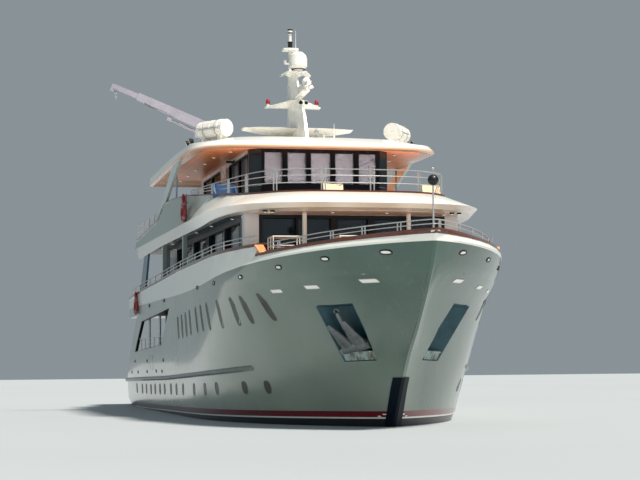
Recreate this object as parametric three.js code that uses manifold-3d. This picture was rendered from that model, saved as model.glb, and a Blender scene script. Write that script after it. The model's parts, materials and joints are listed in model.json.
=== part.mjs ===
// A four-deck steel motor yacht of about 38 m, built as an assembly of separate pieces.
// Units are millimetres. +X points to the bow, +Y to port, +Z up.
// The origin is on the centreline at the waterline, amidships.
import * as THREE from "three";
import { mergeVertices, mergeGeometries } from "three/addons/utils/BufferGeometryUtils.js";
import Module from "manifold-3d";

const wasm = await Module();
wasm.setup();

// Driving dimensions of the hull and its decks
const GAP = 0.3; // running gap between pieces that touch
const KEEL_Z = -2500; // underside of the flat keel
const MAIN_DECK_Z = 1900; // main deck, walked on at the stern
const UPPER_DECK_Z = 4350; // saloon deck
const BRIDGE_DECK_Z = 6850; // wheelhouse deck
const DECK_THICK = 150; // deck plating with its beams
const TEAK = 30; // laid teak on a deck
const PLATE = 120; // framed steel bulwark or side, as thick as the whole wall
const STEM_HALF = 45; // half width of the stem bar
const TERRACE_FWD_X = -600; // front wall of the open stern terrace
const STERN_STEP_X = -16200; // where the main deck ends and the sloping stern begins
const BOW_STEP_X = 13200; // where the side bulwark steps down to the bow bulwark
const STATIONS = 27; // sections of the hull skin from stern to stem

// Plain helpers: closed geometry to solid and back

function solidOf(geometry) {
  const bare = new THREE.BufferGeometry();
  const flat = geometry.index ? geometry.toNonIndexed() : geometry;
  bare.setAttribute("position", flat.getAttribute("position").clone());
  const merged = mergeVertices(bare, 1e-3);
  const made = new wasm.Manifold(
    new wasm.Mesh({
      numProp: 3,
      vertProperties: merged.attributes.position.array,
      triVerts: new Uint32Array(merged.index.array),
    }),
  );
  return made;
}

function geometryOf(solid) {
  const mesh = solid.getMesh();
  const step = mesh.numProp;
  const points = new Float32Array(mesh.numVert * 3);
  for (let i = 0; i < mesh.numVert; i++) {
    points.set(mesh.vertProperties.subarray(i * step, i * step + 3), i * 3);
  }
  const geometry = new THREE.BufferGeometry();
  geometry.setAttribute("position", new THREE.BufferAttribute(points, 3));
  geometry.setIndex(new THREE.BufferAttribute(new Uint32Array(mesh.triVerts), 1));
  geometry.computeVertexNormals();
  return geometry;
}

function place(solid, { at = [0, 0, 0], turn = [0, 0, 0], order = "XYZ" } = {}) {
  const matrix = new THREE.Matrix4().compose(
    new THREE.Vector3(...at),
    new THREE.Quaternion().setFromEuler(new THREE.Euler(...turn, order)),
    new THREE.Vector3(1, 1, 1),
  );
  return solid.transform(matrix.elements);
}

const mirrorY = (solid) => solid.mirror([0, 1, 0]);
const joinAll = (solids) => solids.reduce((sum, s) => sum.add(s));

// A stack of rings of [x, y, z] points, closed at both ends.
function ringLoft(rings) {
  const count = rings[0].length;
  const points = rings.flat();
  const faces = [];
  for (let r = 0; r + 1 < rings.length; r++) {
    for (let i = 0; i < count; i++) {
      const a = r * count + i;
      const b = r * count + ((i + 1) % count);
      // The second half of a ring mirrors the first, diagonals too.
      if (i < count / 2) faces.push([a, b, b + count], [a, b + count, a + count]);
      else faces.push([a, b, a + count], [b, b + count, a + count]);
    }
  }
  for (const [ring, base, flip] of [
    [rings[0], 0, true],
    [rings[rings.length - 1], (rings.length - 1) * count, false],
  ]) {
    for (const [a, b, c] of capOf(ring)) {
      faces.push(flip ? [base + a, base + c, base + b] : [base + a, base + b, base + c]);
    }
  }
  let made = fromFaces(points, faces);
  if (made.volume() < 0) made = fromFaces(points, faces.map(([a, b, c]) => [a, c, b]));
  return made;
}

// Triangles of a ring, cut in the plane that it faces.
function capOf(ring) {
  const vectors = ring.map((p) => new THREE.Vector3(...p));
  const normal = new THREE.Vector3();
  vectors.forEach((v, i) => {
    normal.add(new THREE.Vector3().crossVectors(v, vectors[(i + 1) % vectors.length]));
  });
  normal.normalize();
  const side = Math.abs(normal.z) < 0.9 ? new THREE.Vector3(0, 0, 1) : new THREE.Vector3(1, 0, 0);
  const u = new THREE.Vector3().crossVectors(side, normal).normalize();
  const v = new THREE.Vector3().crossVectors(normal, u);
  const flat = vectors.map((p) => new THREE.Vector2(p.dot(u), p.dot(v)));
  return THREE.ShapeUtils.triangulateShape(flat, []);
}

function fromFaces(points, faces) {
  const geometry = new THREE.BufferGeometry();
  const array = new Float32Array(faces.length * 9);
  faces.flat().forEach((index, i) => array.set(points[index], i * 3));
  geometry.setAttribute("position", new THREE.BufferAttribute(array, 3));
  return solidOf(geometry);
}

const boxSolid = (x0, x1, y0, y1, z0, z1) =>
  place(solidOf(new THREE.BoxGeometry(x1 - x0, y1 - y0, z1 - z0)), {
    at: [(x0 + x1) / 2, (y0 + y1) / 2, (z0 + z1) / 2],
  });

// A side view outline [x, z] pushed from y0 to y1, or a plan outline [x, y] raised from z0 to z1.
function extrude(outline, depth) {
  const shape = new THREE.Shape(outline.map(([a, b]) => new THREE.Vector2(a, b)));
  return solidOf(new THREE.ExtrudeGeometry(shape, { depth, bevelEnabled: false }));
}
const sidePlate = (outline, y0, y1) =>
  place(extrude(outline, y1 - y0), { at: [0, y1, 0], turn: [Math.PI / 2, 0, 0] });
const planPlate = (outline, z0, z1) => place(extrude(outline, z1 - z0), { at: [0, 0, z0] });

// A round bar from a to b, and a bar with that section along a row of points.
function rod(a, b, radius, sides = 8, radiusEnd = radius) {
  const from = new THREE.Vector3(...a);
  const to = new THREE.Vector3(...b);
  const length = from.distanceTo(to);
  const geometry = new THREE.CylinderGeometry(radiusEnd, radius, length, sides);
  const turn = new THREE.Quaternion().setFromUnitVectors(
    new THREE.Vector3(0, 1, 0),
    to.clone().sub(from).normalize(),
  );
  geometry.applyQuaternion(turn);
  geometry.translate(...from.add(to).multiplyScalar(0.5).toArray());
  return solidOf(geometry);
}

function bar(points, radius, sides = 6) {
  const rings = points.map((p, i) => {
    const here = new THREE.Vector3(...p);
    const before = new THREE.Vector3(...points[Math.max(0, i - 1)]);
    const after = new THREE.Vector3(...points[Math.min(points.length - 1, i + 1)]);
    const along = after.sub(before).normalize();
    const across = new THREE.Vector3(0, 0, 1).cross(along).normalize();
    const up = along.clone().cross(across);
    return Array.from({ length: sides }, (_, k) => {
      const angle = ((k + 0.5) / sides) * 2 * Math.PI;
      return here
        .clone()
        .addScaledVector(across, radius * Math.cos(angle))
        .addScaledVector(up, radius * Math.sin(angle))
        .toArray();
    });
  });
  return ringLoft(rings);
}

const smooth = (t) => {
  const s = Math.min(1, Math.max(0, t));
  return s * s * (3 - 2 * s);
};
const mix = (a, b, t) => a + (b - a) * t;

// A value read off a short table of [x, value] rows.
function readOff(table, x) {
  if (x <= table[0][0]) return table[0][1];
  for (let i = 1; i < table.length; i++) {
    const [x0, v0] = table[i - 1];
    const [x1, v1] = table[i];
    if (x <= x1) return mix(v0, v1, (x - x0) / (x1 - x0));
  }
  return table[table.length - 1][1];
}

// Hull form. Each row is one waterline of the skin:
// z aft, rise of the line at the bow, half beam, stem x, stern x, half transom,
// x of the forward shoulder, its two powers, x of the after shoulder, its power
const WATERLINES = [
  [KEEL_Z, 0, 260, 9800, -9500, 150, 0, 2.0, 1.1, -2000, 1.5],
  [-2200, 0, 2600, 11900, -10800, 160, -4000, 2.0, 1.3, -1000, 1.6],
  [-1500, 0, 3750, 13200, -12800, 220, -2500, 2.5, 1.25, -2500, 1.8],
  [-800, 0, 4130, 14050, -15800, 1200, -800, 2.9, 1.15, -4000, 2.1],
  [-250, 0, 4260, 14500, -17500, 3700, 600, 3.1, 1.1, -6000, 2.2],
  [300, 0, 4320, 14890, -17560, 4000, 1540, 3.2, 1.075, -6700, 2.1],
  [1150, 0, 4365, 15500, -17600, 4050, 2880, 3.17, 0.95, -7500, 2.1],
  [2050, 0, 4415, 16290, -17600, 4080, 4270, 3.15, 0.84, -8000, 2.0],
  [2900, 0, 4430, 17230, -17600, 4080, 5520, 3.06, 0.745, -8000, 2.0],
  [3650, 150, 4440, 18150, -17600, 4080, 6570, 2.89, 0.78, -8000, 2.0],
  [4150, 400, 4440, 18760, -17600, 4080, 7470, 2.68, 1.12, -8000, 2.0],
  [4480, 600, 4450, 19100, -17600, 4080, 8430, 2.38, 1.26, -8000, 2.0],
  [5850, 0, 4450, 19230, -17600, 4080, 9080, 1.76, 1.21, -8000, 2.0],
];
const riseAt = (x) => smooth(x / 21000) ** 1.3 * 1.35;

// Half breadth of one waterline at x, taken in by inset.
function halfBreadth(row, x, inset = 0) {
  const [, , half, stem, stern, transom, shoulder, n, m, after, q] = row;
  const reach = stem - inset * 1.5;
  const fore = Math.min(1, Math.max(0, (x - shoulder) / (reach - shoulder)));
  const aft = Math.min(1, Math.max(0, (after - x) / (after - stern)));
  const foreShape = (1 - fore ** n) ** (1 / m);
  const aftShape = 1 - (1 - transom / half) * aft ** q;
  return Math.max(STEM_HALF, (half - inset) * foreShape * aftShape);
}

// One closed ring of the skin: starboard from stern to stem, then port back.
function skinRing(row, inset = 0) {
  const [zAft, rise, , stem, stern] = row;
  const from = stern - (inset > 0 ? 400 : -inset);
  const starboard = [];
  for (let i = 0; i <= STATIONS; i++) {
    const share = Math.sin((i / STATIONS) * (Math.PI / 2)) ** 1.15;
    const x = from + (stem - inset * 1.5 - from) * share;
    starboard.push([x, -halfBreadth(row, x, inset), zAft + rise * riseAt(x)]);
  }
  const port = starboard.map(([x, y, z]) => [x, -y, z]).reverse();
  return [...starboard, ...port];
}

// Half breadth of the skin at any height, for pieces that lie on it.
function skinHalf(x, z) {
  const rows = WATERLINES.map((row) => [row[0] + row[1] * riseAt(x), halfBreadth(row, x)]);
  return readOff(rows, z);
}

// Height of the bulwark's top along the ship, and of its side and bow parts
const SIDE_TOP = [[-15400, 4880], [-8300, 5050], [-3600, 5170], [1700, 5330], [6300, 5390], [BOW_STEP_X, 5470]];
const BOW_TOP = [[BOW_STEP_X, 5190], [16500, 5375], [19300, 5500]];
// The bow's wall stays just under its cap, which bends a little beside the middle point.
const BOW_WALL_TOP = [[BOW_STEP_X, 5190], [16500, 5373], [19300, 5500]];
const CAP_HEIGHT = 55;
const CAP_WIDTH = 230;

const parts = new THREE.Group();

const paint = (colour, roughness = 0.35, metalness = 0) =>
  new THREE.MeshStandardMaterial({ color: colour, roughness, metalness });
const MATERIALS = {
  hullWhite: paint(0xd3dad5, 0.25),
  antifouling: paint(0x14202c, 0.6),
  upperWhite: paint(0xf1efe9, 0.3),
  navy: paint(0x12303c, 0.4),
  teak: paint(0xa8683c, 0.6),
  capWood: paint(0x4d2a1d, 0.35),
  steel: paint(0xbfc3c6, 0.25, 1),
  glass: paint(0x101c26, 0.06),
  rubber: paint(0x33403f, 0.7),
  bronze: paint(0xa9803f, 0.35, 1),
  galvanised: paint(0x6d7274, 0.5, 1),
  canister: paint(0xf4f3ef, 0.3),
};

function add(name, shape, material) {
  const geometry = shape.isBufferGeometry ? shape : geometryOf(shape);
  const mesh = new THREE.Mesh(geometry, MATERIALS[material]);
  mesh.name = name;
  parts.add(mesh);
  return mesh;
}
const SIDES = [["starboard", (s) => s], ["port", mirrorY]];
// Cuts a finished piece, moved a little, out of one that rests against it.
const seat = (solid, name, shift = [0, 0, GAP]) =>
  solid.subtract(solidOf(parts.getObjectByName(name).geometry).translate(shift));

// Hull, topsides and stern terrace
const skin = ringLoft(WATERLINES.map((row) => skinRing(row)));
const well = ringLoft(
  WATERLINES.slice(-4).map((row, i) => skinRing([row[0] - (i ? 0 : 200), ...row.slice(1)], PLATE)),
);
const FAR = 30000;
const MAIN_CUT = sidePlate(
  [
    [-FAR, 1250],
    [-17600, 1250],
    [STERN_STEP_X, MAIN_DECK_Z],
    [TERRACE_FWD_X, MAIN_DECK_Z],
    [TERRACE_FWD_X, UPPER_DECK_Z],
    [FAR, UPPER_DECK_Z],
    [FAR, FAR],
    [-FAR, FAR],
  ],
  -FAR,
  FAR,
);

// Stern gear: columns are x, y, z of the points on the shaft line.
const SHAFT_FORE = [-9000, -1750, -1330];
const SHAFT_AFT = [-14000, -1750, -1760];
const SHAFT_RADIUS = 75;
const RUDDER_X = -15100;
const RUDDER_Y = -1750;
const STOCK_RADIUS = 70;
const STOCK_TOP = -150; // the stock ends on its bearing inside the hull
const MOVE_GAP = 8; // room around pieces that turn or slide
const SHAFT_LENGTH = Math.hypot(SHAFT_FORE[0] - SHAFT_AFT[0], SHAFT_FORE[2] - SHAFT_AFT[2]);
const alongShaft = (t) => SHAFT_FORE.map((v, i) => mix(v, SHAFT_AFT[i], t));

function makeHull() {
  const skeg = sidePlate([[-15000, -2200], [-15000, -900], [-8000, -900], [-8000, KEEL_Z], [-13800, KEEL_Z]], -110, 110);
  let hull = skin.subtract(MAIN_CUT).add(skeg);
  hull = hull.add(boxSolid(STERN_STEP_X + 5, STERN_STEP_X + 145, -2300, 2300, MAIN_DECK_Z - 50, 2650));
  for (const [, flip] of SIDES) {
    const tube = rod(alongShaft(0), alongShaft(0.2), 190, 16, 150);
    const strutAt = alongShaft(0.9);
    const barrel = rod(alongShaft(0.865), alongShaft(1 - (170 + GAP) / SHAFT_LENGTH), 150, 16);
    const legs = [-1, 1].map((lean) =>
      ringLoft([
        [[-200, -45], [200, -25], [200, 25], [-200, 45]].map(([dx, dy]) => [
          strutAt[0] + dx, strutAt[1] + dy + lean * 60, strutAt[2] + 60,
        ]),
        [[-200, -45], [200, -25], [200, 25], [-200, 45]].map(([dx, dy]) => [
          strutAt[0] + dx + 150, strutAt[1] + dy + lean * 520, -500,
        ]),
      ]),
    );
    const bore = rod(alongShaft(0.05), alongShaft(1), SHAFT_RADIUS + MOVE_GAP, 16);
    const stock = rod([RUDDER_X, RUDDER_Y, -1200], [RUDDER_X, RUDDER_Y, STOCK_TOP + GAP], STOCK_RADIUS + MOVE_GAP, 16);
    hull = hull.add(flip(joinAll([tube, barrel, ...legs]))).subtract(flip(bore)).subtract(flip(stock));
  }
  for (const pocket of anchorPockets()) hull = hull.subtract(pocket);
  add("hull", hull, "hullWhite");
}

// Slanted pocket in each bow that houses an anchor: a parallelogram seen from the side.
// Columns: x, z of each corner.
const POCKET = [[14750, 3570], [15850, 3610], [15360, 1960], [14460, 1930]];
const POCKET_INNER_Y = [1750, 950, 220, 850];
function anchorPockets() {
  const made = SIDES.map(([, flip]) => {
    const inner = POCKET.map(([x, z], i) => [x, -POCKET_INNER_Y[i], z]);
    const outer = POCKET.map(([x, z]) => [x, -skinHalf(x, z) - 500, z]);
    return flip(ringLoft([inner, outer]));
  });
  return made;
}

// Open sides of the stern terrace: plates with a raked opening.
function makeTerraceSides() {
  const outline = [
    [STERN_STEP_X + 5, MAIN_DECK_Z + GAP],
    [-15600, 2200],
    [-13800, 2850],
    [-11300, 3950],
    [-11300, UPPER_DECK_Z - DECK_THICK - GAP],
    [TERRACE_FWD_X - GAP, UPPER_DECK_Z - DECK_THICK - GAP],
    [TERRACE_FWD_X - GAP, MAIN_DECK_Z + GAP],
  ];
  const hole = [[-12300, 2430], [-9300, 3720], [-950, 4020], [-3250, 2640]];
  const inside = ringLoft(
    WATERLINES.slice(5).map((row) => skinRing([row[0], 0, ...row.slice(2)], PLATE)),
  );
  const plates = skin.subtract(inside).intersect(sidePlate(outline, -FAR, FAR));
  for (const [side, flip] of SIDES) {
    const half = plates
      .intersect(boxSolid(-FAR, FAR, -FAR, -2600, -FAR, FAR))
      .subtract(sidePlate(hole, -FAR, FAR));
    add("terrace_side_" + side, flip(half), "hullWhite");
  }
}

// Upper deck over the stern terrace, and the closed front wall of the terrace.
function makeUpperDeckAft() {
  const slab = boxSolid(-15400, TERRACE_FWD_X - GAP, -FAR, FAR, UPPER_DECK_Z - DECK_THICK, UPPER_DECK_Z);
  const beam = boxSolid(-15400, -11300 - GAP, -FAR, FAR, 4010, UPPER_DECK_Z - DECK_THICK);
  const deck = skin.intersect(slab.add(beam));
  add("upper_deck_aft", deck, "upperWhite");
}

// Bulwarks above the upper deck, with their cap rails
const CAP_STATIONS = 16;
// Straight runs between evenly spaced stations, as the cap rail is laid.
function capLine(x0, x1, top, count) {
  return Array.from({ length: count + 1 }, (_, i) => {
    const x = mix(x0, x1, i / count);
    return [x, readOff(top, x)];
  });
}
// Wall under a cap rail: its top edge follows the line of the rail.
function bulwarkPart(x0, x1, line) {
  const low = UPPER_DECK_Z + GAP;
  const end = Math.min(x1, 19400);
  const inner = line.map(([x]) => x).filter((x) => x > x0 + 1 && x < end - 1);
  const edge = [x0, ...inner, end].map((x) => [x, readOff(line, x)]);
  return skin.subtract(well).intersect(sidePlate([[x0, low], [end, low], ...edge.reverse()], -FAR, FAR));
}
function capRail(x0, x1, top, count) {
  const row = WATERLINES[WATERLINES.length - 1];
  return Array.from({ length: count + 1 }, (_, i) => {
    const x = mix(x0, x1, i / count);
    const y = halfBreadth(row, x);
    const z = readOff(top, x) + GAP;
    return [
      [x, -y - 30, z],
      [x, -Math.max(1, y + 30 - CAP_WIDTH), z],
      [x, -Math.max(1, y + 30 - CAP_WIDTH), z + CAP_HEIGHT],
      [x, -y - 30, z + CAP_HEIGHT],
    ];
  });
}
// Cap of the bow: the section is turned to lie square to the curved edge.
function edgePath(inset, x0, x1, count) {
  const row = WATERLINES[WATERLINES.length - 1];
  const path = [];
  for (let i = 0; i <= count; i++) {
    const share = Math.sin((i / count) * (Math.PI / 2));
    const x = mix(x0, x1 - inset, share);
    path.push([x, -halfBreadth(row, x, inset)]);
  }
  return path;
}
function makeBulwarks() {
  add("bulwark_bow", bulwarkPart(BOW_STEP_X, FAR, BOW_WALL_TOP), "hullWhite");
  const sideLine = capLine(-15400, BOW_STEP_X, SIDE_TOP, CAP_STATIONS);
  for (const [side, flip] of SIDES) {
    const wall = bulwarkPart(-15400, BOW_STEP_X - GAP, sideLine);
    const half = wall.intersect(boxSolid(-FAR, FAR, -FAR, -2000, -FAR, FAR));
    add("bulwark_" + side, flip(half), "hullWhite");
    const cap = ringLoft(capRail(-15400, BOW_STEP_X, SIDE_TOP, CAP_STATIONS));
    add("cap_rail_" + side, flip(cap), "capWood");
  }
  const outer = edgePath(-30, BOW_STEP_X, 19230, 18);
  const inner = edgePath(CAP_WIDTH - 30, BOW_STEP_X, 19230, 18);
  const starboard = outer.map(([x, y], i) => {
    const z = readOff(BOW_TOP, x) + GAP;
    const [xi, yi] = inner[i];
    return [[x, y, z], [xi, yi, z], [xi, yi, z + CAP_HEIGHT], [x, y, z + CAP_HEIGHT]];
  });
  const port = starboard.map((ring) => ring.map(([x, y, z]) => [x, -y, z])).reverse();
  add("cap_rail_bow", ringLoft([...starboard, ...port]), "capWood");
}

// Stern gear

const BLADES = 5;
const PROP_RADIUS = 700;
function makeSternGear() {
  const turn = [0, Math.atan2(SHAFT_FORE[2] - SHAFT_AFT[2], SHAFT_FORE[0] - SHAFT_AFT[0]) * -1, 0];
  // One blade: sections at growing radius, pitched and swept. Columns: radius, chord, pitch angle, thickness.
  const sections = [[90, 260, 1.15, 60], [260, 420, 0.85, 44], [450, 500, 0.6, 30], [620, 400, 0.46, 20], [PROP_RADIUS, 160, 0.4, 12]];
  const blade = ringLoft(
    sections.map(([radius, chord, pitch, thick]) =>
      [[-0.5, 0], [0, -0.5], [0.5, 0], [0, 0.5]].map(([c, t]) => {
        const along = c * chord * Math.sin(pitch) + t * thick * Math.cos(pitch);
        const across = c * chord * Math.cos(pitch) - t * thick * Math.sin(pitch);
        return [along, across, Math.sqrt(Math.max(1, radius ** 2 - across ** 2))];
      }),
    ),
  );
  const blades = Array.from({ length: BLADES }, (_, i) =>
    place(blade, { turn: [(i / BLADES) * 2 * Math.PI, 0, 0] }),
  );
  const hub = joinAll([
    rod([170, 0, 0], [-210, 0, 0], 160, 20, 150),
    rod([-209, 0, 0], [-330, 0, 0], 150, 20, 60),
  ]);
  const wheel = place(joinAll([hub, ...blades]), { at: alongShaft(1), turn });
  const shaft = rod(alongShaft(0.07), alongShaft(0.99), SHAFT_RADIUS, 16);
  const profile = [[430, 0], [380, 55], [200, 85], [-100, 70], [-560, 12]];
  const outline = [...profile, ...profile.slice(1).reverse().map(([x, y]) => [x, -y])];
  const rings = [[-2330, 0.82], [-1700, 0.95], [-1080, 1.05]].map(([z, scale]) =>
    outline.map(([x, y]) => [RUDDER_X + x * scale, RUDDER_Y + y * scale, z]),
  );
  const stock = rod([RUDDER_X, RUDDER_Y, -1100], [RUDDER_X, RUDDER_Y, STOCK_TOP], STOCK_RADIUS, 16);
  const rudder = ringLoft(rings).add(stock);
  for (const [side, flip] of SIDES) {
    add("propeller_" + side, flip(wheel.add(shaft)), "bronze");
    add("rudder_" + side, flip(rudder), "antifouling");
  }
}

// Pieces that lie on the skin: rub rails and the guard on the stem
const skinTouch = ringLoft(WATERLINES.map((row) => skinRing(row, -GAP)));
const skinGuard = ringLoft(WATERLINES.map((row) => skinRing(row, -26)));
const RUB_Z = [[-17600, 1160], [-1710, 1370], [5850, 1550], [9270, 1660], [10900, 1770]];
function makeSkinPieces() {
  const rings = Array.from({ length: 25 }, (_, i) => {
    const x = mix(-17560, 10900, i / 24);
    const z = readOff(RUB_Z, x);
    const reach = i === 24 ? 40 : 110;
    const y = skinHalf(x, z);
    return [
      [x, -y + 60, z - 85],
      [x, -y - reach * 0.6, z - 80],
      [x, -y - reach, z - 30],
      [x, -y - reach, z + 30],
      [x, -y - reach * 0.6, z + 80],
      [x, -y + 60, z + 85],
    ];
  });
  const rail = ringLoft(rings).subtract(skinTouch);
  for (const [side, flip] of SIDES) add("rub_rail_" + side, flip(rail), "rubber");
  const guard = skinGuard.subtract(skinTouch).intersect(boxSolid(12000, 17500, -250, 250, -900, 1460));
  add("stem_guard", guard, "navy");
}

const PLATFORM_Z = 620;
function makeSwimPlatform() {
  const outline = [[-17600 - GAP, -3650], [-18500, -3600], [-19000, -3300], [-19200, -2700]];
  const mirrored = outline.map(([x, y]) => [x, -y]).reverse();
  let deck = planPlate([...outline, ...mirrored], PLATFORM_Z - 180, PLATFORM_Z);
  const steps = 4;
  const rise = (MAIN_DECK_Z - PLATFORM_Z) / steps;
  for (const [, flip] of SIDES) {
    for (let i = 1; i < steps; i++) {
      const step = boxSolid(-18500 + 230 * i, -17600 - GAP, -3350, -2500, PLATFORM_Z - 10 + (i > 1 ? rise * (i - 1) : 0), PLATFORM_Z + rise * i);
      deck = deck.add(flip(step));
    }
  }
  add("swim_platform", deck, "upperWhite");
}

// Rails: long bars on stanchions, as one welded piece
function railOn(path, { foot, top, bars, radius = 22, every = 1100, pair = 0 }) {
  const at = (i, share) => {
    const [x, y] = path[i];
    return [x, y, mix(foot(x), top(x), share)];
  };
  const long = bars.map((share) => bar(path.map((_, i) => at(i, share)), radius, 4));
  const posts = [];
  let run = every / 2;
  for (let i = 1; i < path.length; i++) {
    const [x0, y0] = path[i - 1];
    const [x1, y1] = path[i];
    const length = Math.hypot(x1 - x0, y1 - y0);
    while (run <= length) {
      for (const shift of pair ? [-pair / 2, pair / 2] : [0]) {
        const t = Math.min(1, Math.max(0, (run + shift) / length));
        const x = mix(x0, x1, t);
        const y = mix(y0, y1, t);
        posts.push(rod([x, y, mix(foot(x0), foot(x1), t) + GAP], [x, y, mix(top(x0), top(x1), t)], radius, 4));
      }
      run += every;
    }
    run -= length;
  }
  return joinAll([...long, ...posts]);
}
const halfToFull = (path) => [...path, ...path.slice(0, -1).reverse().map(([x, y]) => [x, -y])];

const BOW_RAIL_HEIGHT = 245;
function makeHullRails() {
  const capTop = (table) => (x) => readOff(table, x) + CAP_HEIGHT + 2 * GAP;
  const bow = halfToFull(edgePath(70, BOW_STEP_X + 250, 19160, 14));
  const bowRail = railOn(bow, {
    foot: capTop(BOW_TOP),
    top: (x) => capTop(BOW_TOP)(x) + BOW_RAIL_HEIGHT,
    bars: [1],
    every: 1250,
    pair: 110,
  });
  add("bow_rail", seat(bowRail, "cap_rail_bow"), "steel");
  const row = WATERLINES[WATERLINES.length - 1];
  const side = [];
  for (const x of [12900, 11800, 10500, 9000, 6500, 2500, -1000, -4500, -8000, -11500, -14200]) {
    side.push([x, -halfBreadth(row, x, 15)]);
  }
  for (const [name, flip] of SIDES) {
    const rail = railOn(side, {
      foot: capTop(SIDE_TOP),
      top: (x) => capTop(SIDE_TOP)(x) + 240,
      bars: [1],
      every: 1700,
    });
    add("side_rail_" + name, flip(seat(rail, "cap_rail_starboard")), "steel");
  }
  const aft = [[-14200, -3850], [-15150, -3800], [-15280, -3650], [-15280, 3650], [-15150, 3800], [-14200, 3850]];
  add("stern_rail", railOn(aft, {
    foot: () => UPPER_DECK_Z + TEAK + 2 * GAP,
    top: () => 5500,
    bars: [1],
    every: 1200,
  }), "steel");
}

function makeTerraceRails() {
  for (const [name, flip] of SIDES) {
    const path = [-10700, -9000, -7000, -5000, -3700].map((x) => [x, -(skinHalf(x, 2600) - PLATE / 2)]);
    const rail = railOn(path, { foot: () => 2430, top: () => 2980, bars: [1], every: 1400 });
    add("terrace_rail_" + name, flip(seat(rail, "terrace_side_starboard")), "steel");
  }
}

// Saloon on the upper deck
const SALOON = { fore: 10000, aft: -9000, half: 3580, wall: 110, top: 6700 };
function makeSaloon() {
  const { fore, aft, half, wall, top } = SALOON;
  const floor = UPPER_DECK_Z + GAP;
  let walls = boxSolid(aft, fore, -half, half, floor, top - GAP).subtract(
    boxSolid(aft + wall, fore - wall, -half + wall, half - wall, floor - 1, top),
  );
  const paneZ = [4480, 6560];
  for (const [y0, y1] of [[-3000, -730], [-510, 510], [730, 3000]]) {
    walls = walls.subtract(boxSolid(fore - 500, fore + 500, y0, y1, ...paneZ));
  }
  const bays = [[6400, 9300], [3100, 6200], [-300, 2900], [-4600, -500]];
  for (const [x0, x1] of bays) {
    walls = walls.subtract(boxSolid(x0, x1, -FAR, FAR, 4900, 6480));
  }
  walls = walls.subtract(boxSolid(aft - 500, aft + 500, -1150, 1150, floor - 1, 6450));
  add("saloon_walls", walls, "upperWhite");
  const inset = wall + GAP;
  const sheet = 30;
  const glass = boxSolid(-4800, fore - inset, -half + inset, half - inset, 4700, 6600)
    .subtract(boxSolid(-5000, fore - inset - sheet, -half + inset + sheet, half - inset - sheet, 4000, 7000))
    .add(
      boxSolid(fore - inset - sheet, fore - inset, -3100, 3100, 4420, 6600),
    );
  add("saloon_glass", glass, "glass");
  for (const [name, flip] of SIDES) {
    const leaf = boxSolid(aft + wall + 6, aft + wall + 51, -1230, -4, floor, 6500);
    add("saloon_door_" + name, flip(leaf), "glass");
  }
}

// White band around the bridge deck, drawn as a loft along its edge.
// The edge is straight at the sides and a rounded square at the front.
const BAND = { start: 6000, reach: 6150, half: 4540, power: 3.6 };
const BAND_KNEE_Z = 6900;
const BAND_TOP = [
  [-10700, 7250], [-7200, 7390], [-4500, 7540], [-3800, 7600], [-2600, 7900], [-1800, 8060], [900, 8010],
  [3560, 7870], [4760, 7770], [6330, 7640], [8660, 7470], [10000, 7380], [11000, 7335],
];
const BAND_BOTTOM = [[-10700, 6440], [-6000, 6560], [-1500, 6570], [6000, 6570], [9500, 6660], [12150, 6760]];
const BAND_X = [-10700, -8900, -7200, -4500, -3800, -2600, -1800, 900, 3500];
const BAND_TURNS = 13;
const bandInset = (x) => mix(60, 1000, smooth((x - 1500) / 8500));
const bandStations = (() => {
  const sides = BAND_X.map((x) => ({ x, at: (o) => [x, -(BAND.half - o)] }));
  const curve = Array.from({ length: BAND_TURNS + 1 }, (_, i) => {
    const angle = (1 - i / BAND_TURNS) * (Math.PI / 2);
    const c = Math.cos(angle) ** (2 / BAND.power);
    const s = Math.sin(angle) ** (2 / BAND.power);
    const at = (o) => [BAND.start + (BAND.reach - o) * c, -(BAND.half - o) * s];
    return { x: at(0)[0], at };
  });
  curve[BAND_TURNS].at = (o) => [BAND.start + BAND.reach - o, 0];
  return [...sides, ...curve];
})();
function bandLoft(section) {
  const half = bandStations.map(({ x, at }) => section(x).map(([o, z]) => [...at(o), z]));
  const starboard = ringLoft(half);
  return starboard.add(mirrorY(starboard));
}
const bandOutline = (offset) => {
  const half = bandStations.map(({ x, at }) => at(offset(x)));
  return [...half, ...half.slice(0, -1).reverse().map(([x, y]) => [x, -y])];
};

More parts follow.
